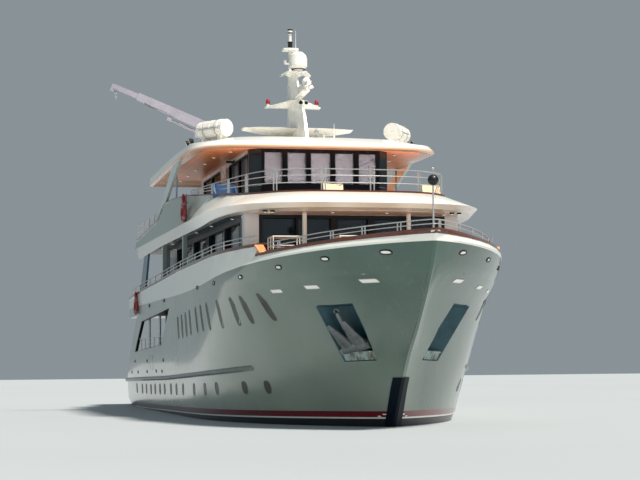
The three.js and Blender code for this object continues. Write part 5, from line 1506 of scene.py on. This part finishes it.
def set_chairs(shape, columns, z):
    """Chairs on both sides of a long table, facing it."""
    for x in columns:
        for side in (-1, 1):
            deck_chair(shape, x, side * 1.1, z, side * -90, 0.25)


LOUNGERS = [(-0.27, 0.68), (3.14, 0.62)]  # y and width
loungers, blue_seats = Shape(), Shape()
for y, wide in LOUNGERS:
    lounger(loungers, 10.0, y, wide, 1.0)
loungers.piece("bridge_loungers", beige_shell, "dome", smooth=30)
head_rests = Shape()
rest_y = LOUNGERS[0][0] + 0.15
rings = []
for a, b in ((-1, 0), (0, 1), (1, 0), (0, -1)):
    y = rest_y + a * 0.15
    rings.append([(8.62, y, BRIDGE_SOLE + 0.98 + b * 0.08), (8.72, y, BRIDGE_SOLE + 0.96 + b * 0.08)])
head_rests.loft(rings, closed=True)
head_rests.piece("lounger_head_rests", blue_shell, "navy", bevel=0.01)
ARMCHAIRS = [(6.5, -3.47, 20), (4.6, -3.4, -10), (4.6, 3.4, 10)]  # x, y and turn in degrees
for x, y, turn in ARMCHAIRS:
    seat = Shape()
    rings = []
    for k in range(17):
        t = math.pi * (0.5 + k / 16)
        top = 0.66 + 0.44 * min(1.0, max(0.0, -2.2 * math.cos(t)))
        c, s = squarer(math.cos(t), 0.45), squarer(math.sin(t), 0.45)
        rings.append([
            (0.34 * c, 0.36 * s, 0.30), (0.40 * c, 0.42 * s, 0.30),
            (0.42 * c, 0.44 * s, top), (0.36 * c, 0.38 * s, top),
        ])
    seat.loft(rings)
    seat.loft([
        [(math.cos(t) * r, math.sin(t) * r * 1.05, z) for t in full_turn(16)]
        for z, r in ((0.28, 0.30), (0.30, 0.345), (0.40, 0.345), (0.42, 0.31))
    ])
    for a, b in ((-0.22, -0.26), (-0.22, 0.26), (0.24, -0.24), (0.24, 0.24)):
        seat.tube([(a * 1.15, b * 1.15, 0.0), (a, b, 0.29)], 0.018)
    blue_seats.join(seat, placed_at(x, y, BRIDGE_SOLE, turn, 1.05))
blue_seats.piece("blue_armchairs", blue_shell, "navy", bevel=0.008)
dining, dining_chairs = Shape(), Shape()
oval_top = [(-7.9 + 1.25 * math.cos(t), 0.62 * math.sin(t)) for t in full_turn(40)]
dining.plate(oval_top, BRIDGE_SOLE + 0.70, BRIDGE_SOLE + 0.74)
for x in (-8.5, -7.3):
    dining.turned(
        (x, 0, BRIDGE_SOLE), (0, 0, 1),
        [(0, 0.25), (0.03, 0.25), (0.06, 0.07), (0.66, 0.07), (0.695, 0.2)], 20
    )
dining.piece("bridge_dining_table", cap_finish, "cap_wood", bevel=0.006)
set_chairs(dining_chairs, (-8.7, -7.9, -7.1), BRIDGE_SOLE)
dining_chairs.piece("bridge_dining_chairs", cap_finish, "cap_wood")
print("loungers", len(LOUNGERS), "and armchairs", len(ARMCHAIRS))

# %% [markdown]
# The foredeck carries the ground tackle and the mooring gear: two anchor windlasses with their drums on
# low seats, pairs of bollards, a locker and a flush hatch. Most of them are turned from their sections.
# Two smaller capstans and more bollards serve the stern.


# %% Mooring gear
def bollards(shape, x, y, z, turn, scale):
    """A pair of posts with mushroom heads on a low base plate."""
    made = Shape()
    made.block((-0.36, -0.11, 0.0), (0.36, 0.11, 0.03))
    for a in (-0.2, 0.2):
        made.turned(
            (a, 0, 0.03), (0, 0, 1),
            [(0, 0.085), (0.04, 0.07), (0.24, 0.07), (0.27, 0.095), (0.3, 0.095), (0.32, 0.06)], 18
        )
        made.tube([(a - 0.13, 0, 0.19), (a + 0.13, 0, 0.19)], 0.016)
    shape.join(made, placed_at(x, y, z, turn, scale))


WINDLASS = [  # along the shaft and radius: the toothed wheel, then the warping drum
    (0, 0.10), (0.02, 0.15), (0.10, 0.15), (0.13, 0.24), (0.17, 0.25), (0.20, 0.16), (0.26, 0.16),
    (0.29, 0.25), (0.33, 0.24), (0.36, 0.12), (0.46, 0.10), (0.50, 0.19), (0.53, 0.12), (0.64, 0.12),
    (0.67, 0.19), (0.7, 0.17),
]
BOLLARDS = [  # x, distance from the middle, turn in degrees and scale
    (16.7, 1.55, -28, 1.0), (13.9, 2.85, -16, 1.0), (-14.6, 3.45, 0, 1.0), (-1.8, 3.95, 0, 0.8),
]
gear, seats = Shape(), Shape()
for side in (-1, 1):
    y = side * 0.75
    seats.block((15.0, y - 0.36, UPPER_DECK), (15.9, y + 0.36, UPPER_DECK + 0.08))
    gear.turned((15.45, y - side * 0.30, UPPER_DECK + 0.42), (0, side, 0), WINDLASS, 24)
    gear.block((15.2, y - 0.33, UPPER_DECK + 0.08), (15.7, y - 0.22, UPPER_DECK + 0.56))
    gear.block((15.2, y + 0.06, UPPER_DECK + 0.08), (15.7, y + 0.14, UPPER_DECK + 0.50))
    gear.turned((15.95, y, UPPER_DECK), (0, 0, 1), [(0, 0.16), (0.05, 0.14), (0.09, 0.14), (0.1, 0.1)], 20)
    for x, beside, turn, scale in BOLLARDS:
        bollards(gear, x, side * beside, UPPER_DECK, side * turn, scale)
    gear.turned(
        (-15.3, side * 2.8, UPPER_DECK), (0, 0, 1),
        [(0, 0.19), (0.04, 0.19), (0.07, 0.11), (0.25, 0.10), (0.30, 0.16), (0.34, 0.16), (0.36, 0.1)], 24
    )
seats.block((12.95, -0.42, UPPER_DECK), (13.75, 0.42, UPPER_DECK + 0.10))
seats.block((17.3, -0.5, UPPER_DECK), (17.9, 0.5, UPPER_DECK + 0.42))
gear.piece("mooring_gear", steel_finish, "steel", smooth=35)
seats.piece("deck_seats_and_hatch", canister_finish, "upper_white", bevel=0.02)
hatch = Shape()
hatch.block((13.0, -0.37, UPPER_DECK + 0.101), (13.7, 0.37, UPPER_DECK + 0.125))
hatch.piece("foredeck_hatch_pane", dark_pane, "glass", bevel=0.01)
hatch_ring = Shape()
corners = [
    (x, y, UPPER_DECK + 0.115)
    for x, y in ((12.97, -0.4), (13.73, -0.4), (13.73, 0.4), (12.97, 0.4))
]
hatch_ring.tube(corners, 0.016, 8, closed=True)
hatch_ring.piece("foredeck_hatch_rim", steel_finish, "steel")
print("bollard pairs", 2 * len(BOLLARDS))

# %% [markdown]
# The crane and the life-raft canisters get the parts that make them readable. A canister is two
# halves of moulded glass fibre with a flanged joint, held by two webbing straps on a cradle. The
# crane's boom carries a block with a hook at its head. That block rides on the boom's body, so it stays
# with it as the boom turns and rises.

# %% Rafts and crane fittings
RAFT_MIDDLE = Vector((3.38, -3.41, 10.31))
RAFT_TURN = 0.98  # radians, between the canister and the athwartships line
raft_along = Vector((math.sin(RAFT_TURN), math.cos(RAFT_TURN), 0))
straps, joints = Shape(), Shape()
for place in (-0.30, 0.30):
    straps.turned(
        RAFT_MIDDLE + raft_along * (place - 0.025), raft_along,
        [(0, 0.323), (0, 0.331), (0.05, 0.331), (0.05, 0.323)], 36
    )
raft_side = Vector((-raft_along.y, raft_along.x, 0))
joint_line = []
for t in full_turn(28):
    along, beside = 0.63 * squarer(math.cos(t), 0.35), 0.322 * squarer(math.sin(t), 0.35)
    joint_line.append(RAFT_MIDDLE + raft_along * along + raft_side * beside)
joints.tube(joint_line, 0.012, 8, closed=True)
strap_finish = plain_paint("strap_webbing", rgb(196, 192, 196), rgb(168, 164, 168), 0.8, 0.0, 60)
straps.mirrored().piece("raft_straps", strap_finish, "rubber")
joints.mirrored().piece("raft_joints", band_grey, "rubber")
BOOM_HEAD = Vector((-3.44, -6.31, 12.84))
BOOM_FOOT = Vector((-3.0, -2.7, 11.33))
boom_along = (BOOM_HEAD - BOOM_FOOT).normalized()
boom_across = boom_along.cross(Vector((0, 0, 1))).normalized()
hook = Shape()
sheave = BOOM_HEAD - boom_along * 0.12 - Vector((0, 0, 0.16))
hook.turned(
    sheave - boom_across * 0.03, boom_across,
    [(0, 0.05), (0.01, 0.075), (0.03, 0.06), (0.05, 0.075), (0.06, 0.05)], 20
)
for side in (-1, 1):
    hook.tube(
        [sheave + boom_across * side * 0.045 + Vector((0, 0, 0.10)), sheave + boom_across * side * 0.045],
        0.014
    )
    hook.tube(
        [sheave + boom_across * side * 0.03, sheave + boom_across * side * 0.02 - Vector((0, 0, 0.16))],
        0.008
    )
block_at = sheave - Vector((0, 0, 0.24))
hook.turned(block_at, (0, 0, 1), [(0, 0.03), (0.02, 0.055), (0.08, 0.055), (0.10, 0.03)], 18)
bend = []
for k in range(13):
    t = math.pi * (0.05 + 1.35 * k / 12)
    bend.append(block_at + boom_across * 0.05 * math.sin(t) + Vector((0, 0, -0.07 + 0.05 * math.cos(t))))
hook.tube([block_at + Vector((0, 0, 0.01))] + bend, [0.014] * 9 + [0.012, 0.011, 0.010, 0.008, 0.005], 10)
hook.piece("crane_hook_block", steel_finish, "steel", body="crane_boom")
hoses = Shape()
for side in (-0.10, 0.10):
    line = []
    for a, up in ((0.5, -0.02), (0.9, 0.0), (1.6, 0.0), (2.3, 0.0), (2.6, 0.02)):
        line.append(BOOM_FOOT + boom_along * a + boom_across * side + Vector((0, 0, -0.14 + up)))
    hoses.tube(line, 0.014, 8)
hoses.piece("crane_boom_hoses", black_finish, "rubber", body="crane_boom")
print("raft straps", 4)

# %% [markdown]
# Floodlights stand along the hardtop's edge, and spotlights hang under the front of the bridge deck.
# Each has a lens, a body and a foot. On the side of the hull a thin seam shows the boarding door. Plain
# white bars, without figures, stand for the draught marks on the bow. Two pale blue posts carry the
# hardtop's sides, and each front pane of the wheelhouse has a wiper.

# %% Small lamps, seams, marks, posts and wipers
small_lamps, lamp_lens = Shape(), Shape()


def flood_lamp(at, aim, size=0.09):
    """A small floodlight on its foot, aimed along a direction."""
    aim = Vector(aim).normalized()
    small_lamps.turned(
        at - Vector((0, 0, 0.012)), (0, 0, 1),
        [(0, size * 0.6), (0.02, size * 0.6), (0.03, 0.018), (size, 0.018)], 12
    )
    head = Vector(at) + Vector((0, 0, size * 1.5))
    small_lamps.turned(
        head - aim * size * 0.8, aim,
        [(0, size * 0.35), (size * 0.3, size * 0.8), (size * 1.3, size), (size * 1.35, size)], 18
    )
    lamp_lens.turned(
        head + aim * size * 0.54, aim, [(0, size * 0.86), (0.006, size * 0.7), (0.01, size * 0.2)], 18
    )


for side in (-1, 1):
    for x in (2.0, 2.75):
        flood_lamp(Vector((x, side * 4.16, roof_z(x, side * 4.16))), (-0.2, side, -0.35), 0.12)
    if side > 0:
        flood_lamp(Vector((4.25, side * 3.72, roof_z(4.25, side * 3.72))), (0.1, side, -0.5), 0.07)
    for y in (2.94, 3.18):
        spot = Vector((11.35, side * y, 6.61))
        small_lamps.turned(
            spot + Vector((0, 0, 0.075)), (0, 0, -1),
            [(0, 0.07), (0.02, 0.075), (0.05, 0.075), (0.06, 0.06)], 16
        )
        lamp_lens.turned(
            spot + Vector((0, 0, 0.017)), (0, 0, -1), [(0, 0.055), (0.01, 0.05), (0.015, 0.03)], 16
        )
small_lamps.piece("flood_lamps", black_finish, "navy")
lamp_lens.piece("flood_lamp_lenses", lamp_finish, "glass")
seams = Shape()
DOOR_SEAM = oval(-6.35, 1.98, 0.48, 0.30, 0.0, 9.0, 28)
seams.tube([on_skin(x, z, 0.0005) for x, z in DOOR_SEAM], 0.006, 6, closed=True)
seams.mirrored().piece("boarding_door_seams", band_grey, "rubber")
marks = Shape()
for x, z, wide in ((14.66, 0.36, 0.10), (14.52, 0.30, 0.07), (14.70, 0.16, 0.06)):
    patch(marks, [(x, z), (x + wide, z), (x + wide, z + 0.03), (x, z + 0.03)], 0.003, 0.01, (1.0, 0.5))
marks.mirrored().piece("draught_bars", white_paint_and_daylight, "upper_white")
posts = Shape()
for side in (-1, 1):
    posts.tube([(0.05, side * 4.30, 8.06), (0.05, side * 4.30, 9.36)], 0.035, 12)
    posts.turned((0.05, side * 4.30, 8.05), (0, 0, 1), [(0, 0.07), (0.015, 0.07), (0.02, 0.04)], 14)
pale_blue = plain_paint("pale_blue_paint", rgb(150, 190, 214), rgb(132, 172, 198), 0.35, 0.3, 6)
posts.piece("roof_posts", pale_blue, "upper_white")
wipers = Shape()
for y0, y1 in front_panes:
    middle = (y0 + y1) / 2
    wipers.turned((5.534, middle, 9.31), (1, 0, 0), [(0, 0.03), (0.03, 0.03), (0.04, 0.018)], 14)
    wipers.tube([(5.566, middle, 9.31), (5.56, y1 - 0.03, 8.85)], 0.006)
    wipers.tube([(5.552, y1 - 0.02, 9.12), (5.552, y1 - 0.02, 8.50)], 0.007)
wipers.piece("window_wipers", black_finish, "navy")
print("lamp faces", len(small_lamps.faces))

# %% [markdown]
# Side lamps show red to port and green to starboard. Each sits in a black screen on the side of the
# wheelhouse. A stern lamp and a short flagstaff stand at the after rail.

# %% Side lamps and stern fittings
lamp_screens, green_lens, red_lens = Shape(), Shape(), Shape()
for side, lens in ((-1, green_lens), (1, red_lens)):
    lamp_screens.side_block(side, (2.0, 2.51, 9.25), (2.5, 2.52, 9.34))
    lamp_screens.side_block(side, (2.0, 2.52, 9.25), (2.5, 2.74, 9.262))
    lamp_screens.side_block(side, (2.0, 2.52, 9.262), (2.012, 2.74, 9.34))
    lens.turned(
        (2.1, side * 2.62, 9.263), (0, 0, 1), [(0, 0.045), (0.01, 0.05), (0.06, 0.05), (0.07, 0.03)], 18
    )
lamp_screens.piece("side_lamp_screens", black_finish, "navy")
green_glass = plain_paint("green_lens", rgb(20, 120, 70), rgb(14, 96, 56), 0.1, 0.8, 20)
green_lens.piece("side_lamp_green", green_glass, "glass")
red_lens.piece("side_lamp_red", red_finish, "glass")
stern = Shape()
stern.tube([(-15.28, 0, 5.0), (-15.62, 0, 6.5)], [0.024, 0.016], 12)
stern.turned((-15.62, 0, 6.5), (-0.2, 0, 1), [(0, 0.02), (0.01, 0.035), (0.05, 0.035), (0.06, 0.015)], 14)
stern.tube([(-15.30, -0.045, 5.09), (-15.30, 0.045, 5.09)], 0.03, 12)
stern.turned(
    (-10.66, 0, 7.98), (0, 0, 1),
    [(0, 0.03), (0.02, 0.05), (0.03, 0.045), (0.10, 0.045), (0.11, 0.05), (0.13, 0.02)], 18
)
stern.piece("stern_staff_and_lamp", steel_finish, "steel")
print("side lamps", 2)

# %% [markdown]
# At the stern the swim platform and its steps are laid with teak in a narrow margin of white. A folding
# ladder lies on the platform, and the steps have handrails. On the upper deck aft stands a long table
# with six chairs. The last blocks are low cabinets in the saloon, which show dimly through its panes.

# %% Stern and after decks
pads = Shape()
platform_plan = [(-17.68, -2.42), (-18.42, -2.42), (-18.46, -3.42), (-18.92, -3.16), (-19.1, -2.62)]
pads.plate(and_back(platform_plan), 0.621, 0.634)
for k, z in enumerate((0.94, 1.26, 1.58)):
    x0, x1 = -18.25 + 0.23 * k, -18.06 + 0.23 * k
    for side in (-1, 1):
        pads.side_block(side, (x0, 2.53, z + 0.001), (x1 if k < 2 else -17.62, 3.32, z + 0.012))
pads.piece("platform_teak", teak_finish, "teak")
ladder = Shape()
for y in (-0.22, 0.22):
    ladder.tube([(-17.9, y, 0.665), (-18.95, y, 0.665)], 0.018)
for k in range(5):
    x = -18.0 - k * 0.22
    ladder.block((x - 0.03, -0.2, 0.655), (x + 0.03, 0.2, 0.675))
for side in (-1, 1):
    for y in (2.47, 3.42):
        rail = [(-18.5, 0.62), (-18.5, 1.45), (-18.42, 1.55), (-17.7, 2.5), (-17.64, 2.5)]
        ladder.tube([(x, side * y, z) for x, z in rail], 0.019)
        ladder.tube([(-18.0, side * y, 0.62), (-18.0, side * y, 2.1)], 0.016)
ladder.piece("stern_ladder_and_handrails", steel_finish, "steel")
aft_table, aft_chairs = Shape(), Shape()
oval_plan = []
for k in range(40):
    t = 2 * math.pi * (k + 0.5) / 40
    oval_plan.append((-12.3 + 1.5 * squarer(math.cos(t), 0.6), 0.62 * squarer(math.sin(t), 0.6)))
aft_table.plate(oval_plan, UPPER_DECK + 0.70, UPPER_DECK + 0.74)
for x in (-13.1, -11.5):
    aft_table.turned(
        (x, 0, UPPER_DECK), (0, 0, 1),
        [(0, 0.26), (0.03, 0.26), (0.06, 0.07), (0.66, 0.07), (0.695, 0.2)], 20
    )
aft_table.piece("upper_dining_table", cap_finish, "cap_wood", bevel=0.006)
set_chairs(aft_chairs, (-13.2, -12.3, -11.4), UPPER_DECK)
aft_chairs.piece("upper_dining_chairs", cap_finish, "cap_wood")
SALOON_SOLE = 4.352
CABINETS = [  # x from and to, distance from the middle, half width, top
    (7.4, 9.2, 1.9, 0.5, 4.78), (7.4, 9.2, 2.9, 0.12, 5.05), (3.4, 6.0, 2.6, 0.4, 4.80),
    (-4.0, 1.5, 2.9, 0.35, 5.2),
]
cabinets = Shape()
for side in (-1, 1):
    for x0, x1, y, half_wide, top in CABINETS:
        cabinets.block((x0, side * y - half_wide, SALOON_SOLE), (x1, side * y + half_wide, top))
cabinets.piece("saloon_cabinets", cap_finish, "cap_wood", bevel=0.03)
print("platform pads", 7)

# %% [markdown]
# The stage is a plain pale floor at the waterline, so that what floats below the water is hidden as
# it is in a harbour. The light is a broad soft sun from ahead and high on the port side, with a pale sky
# all round and a large cool lamp to starboard that fills the shaded side. Two more lamps stand for light
# that would come off the decks and the surroundings. One, ahead of the bow, brightens the fronts. It
# leaves the floor out, because it would draw a bright patch on it. The other stands just above the
# bridge deck and shines up, warm, on the hardtop's lining, the fins and the wheelhouse's glass, and on
# nothing else. Both rules are Blender's light linking: a collection says which objects a lamp reaches.

# %% Floor, light and finish
floor_finish = Finish("floor", roughness=0.7)
floor_finish.colour(floor_finish.mix(floor_finish.noise(0.05, 3), rgb(176, 182, 186), rgb(166, 173, 178)))
FLOOR_HALF = 150  # metres
floor = Shape().block((-FLOOR_HALF, -FLOOR_HALF, -0.05), (FLOOR_HALF, FLOOR_HALF, 0.0))
floor_mesh = bpy.data.meshes.new("floor")
floor_mesh.from_pydata([tuple(p) for p in floor.points], [], floor.faces)
floor_mesh.materials.append(floor_finish.material)
floor_object = bpy.data.objects.new("floor", floor_mesh)
bpy.context.collection.objects.link(floor_object)

world = bpy.data.worlds.new("sky")
bpy.context.scene.world = world
world.use_nodes = True
background = world.node_tree.nodes["Background"]
background.inputs["Color"].default_value = (0.62, 0.72, 0.78, 1)
background.inputs["Strength"].default_value = 0.40


def lamp(name, kind, energy, direction, colour, size, distance=60, in_gloss=True):
    """A light in that direction from the origin, aimed at it. Gloss can be made to leave it out."""
    light = bpy.data.lights.new(name, kind)
    light.energy, light.color = energy, colour
    if kind == "SUN":
        light.angle = size
    else:
        light.size = size
    made = bpy.data.objects.new(name, light)
    towards = Vector(direction).normalized()
    made.location = towards * distance
    made.rotation_euler = towards.to_track_quat("Z", "Y").to_euler()
    made.visible_glossy = in_gloss
    bpy.context.collection.objects.link(made)
    return made


lamp("sun", "SUN", 5.6, (0.42, 0.26, 0.87), (1.0, 0.94, 0.85), math.radians(8))
lamp("fill", "AREA", 700, (0.35, -1.0, 0.25), (0.78, 0.95, 0.92), 30)
bounce = lamp("bounce", "AREA", 8000, (1.0, 0.15, 0.06), (1.0, 0.90, 0.82), 20, in_gloss=False)
glow = lamp("teak_glow", "AREA", 1000, (0.12, 0.0, -1.0), (1.0, 0.72, 0.52), 5, in_gloss=False)
glow.location = (7.6, 0.0, 7.0)


def choose_lit(light, things, state):
    """INCLUDE makes the light reach only those things, EXCLUDE all but those."""
    chosen = bpy.data.collections.new(light.name + "_things")
    for thing in things:
        chosen.objects.link(thing)
    for row in chosen.collection_objects:
        row.light_linking.link_state = state
    light.light_linking.receiver_collection = chosen


under_roof = ("hardtop_lining", "fin_upper_port", "fin_upper_starboard", "wheelhouse_glass")
choose_lit(glow, [bpy.data.objects[name] for name in under_roof], "INCLUDE")
choose_lit(bounce, [floor_object], "EXCLUDE")

bpy.context.scene.view_settings.view_transform = "Standard"
print("faces added", sum(face_count.values()), "in", len(face_count), "pieces")
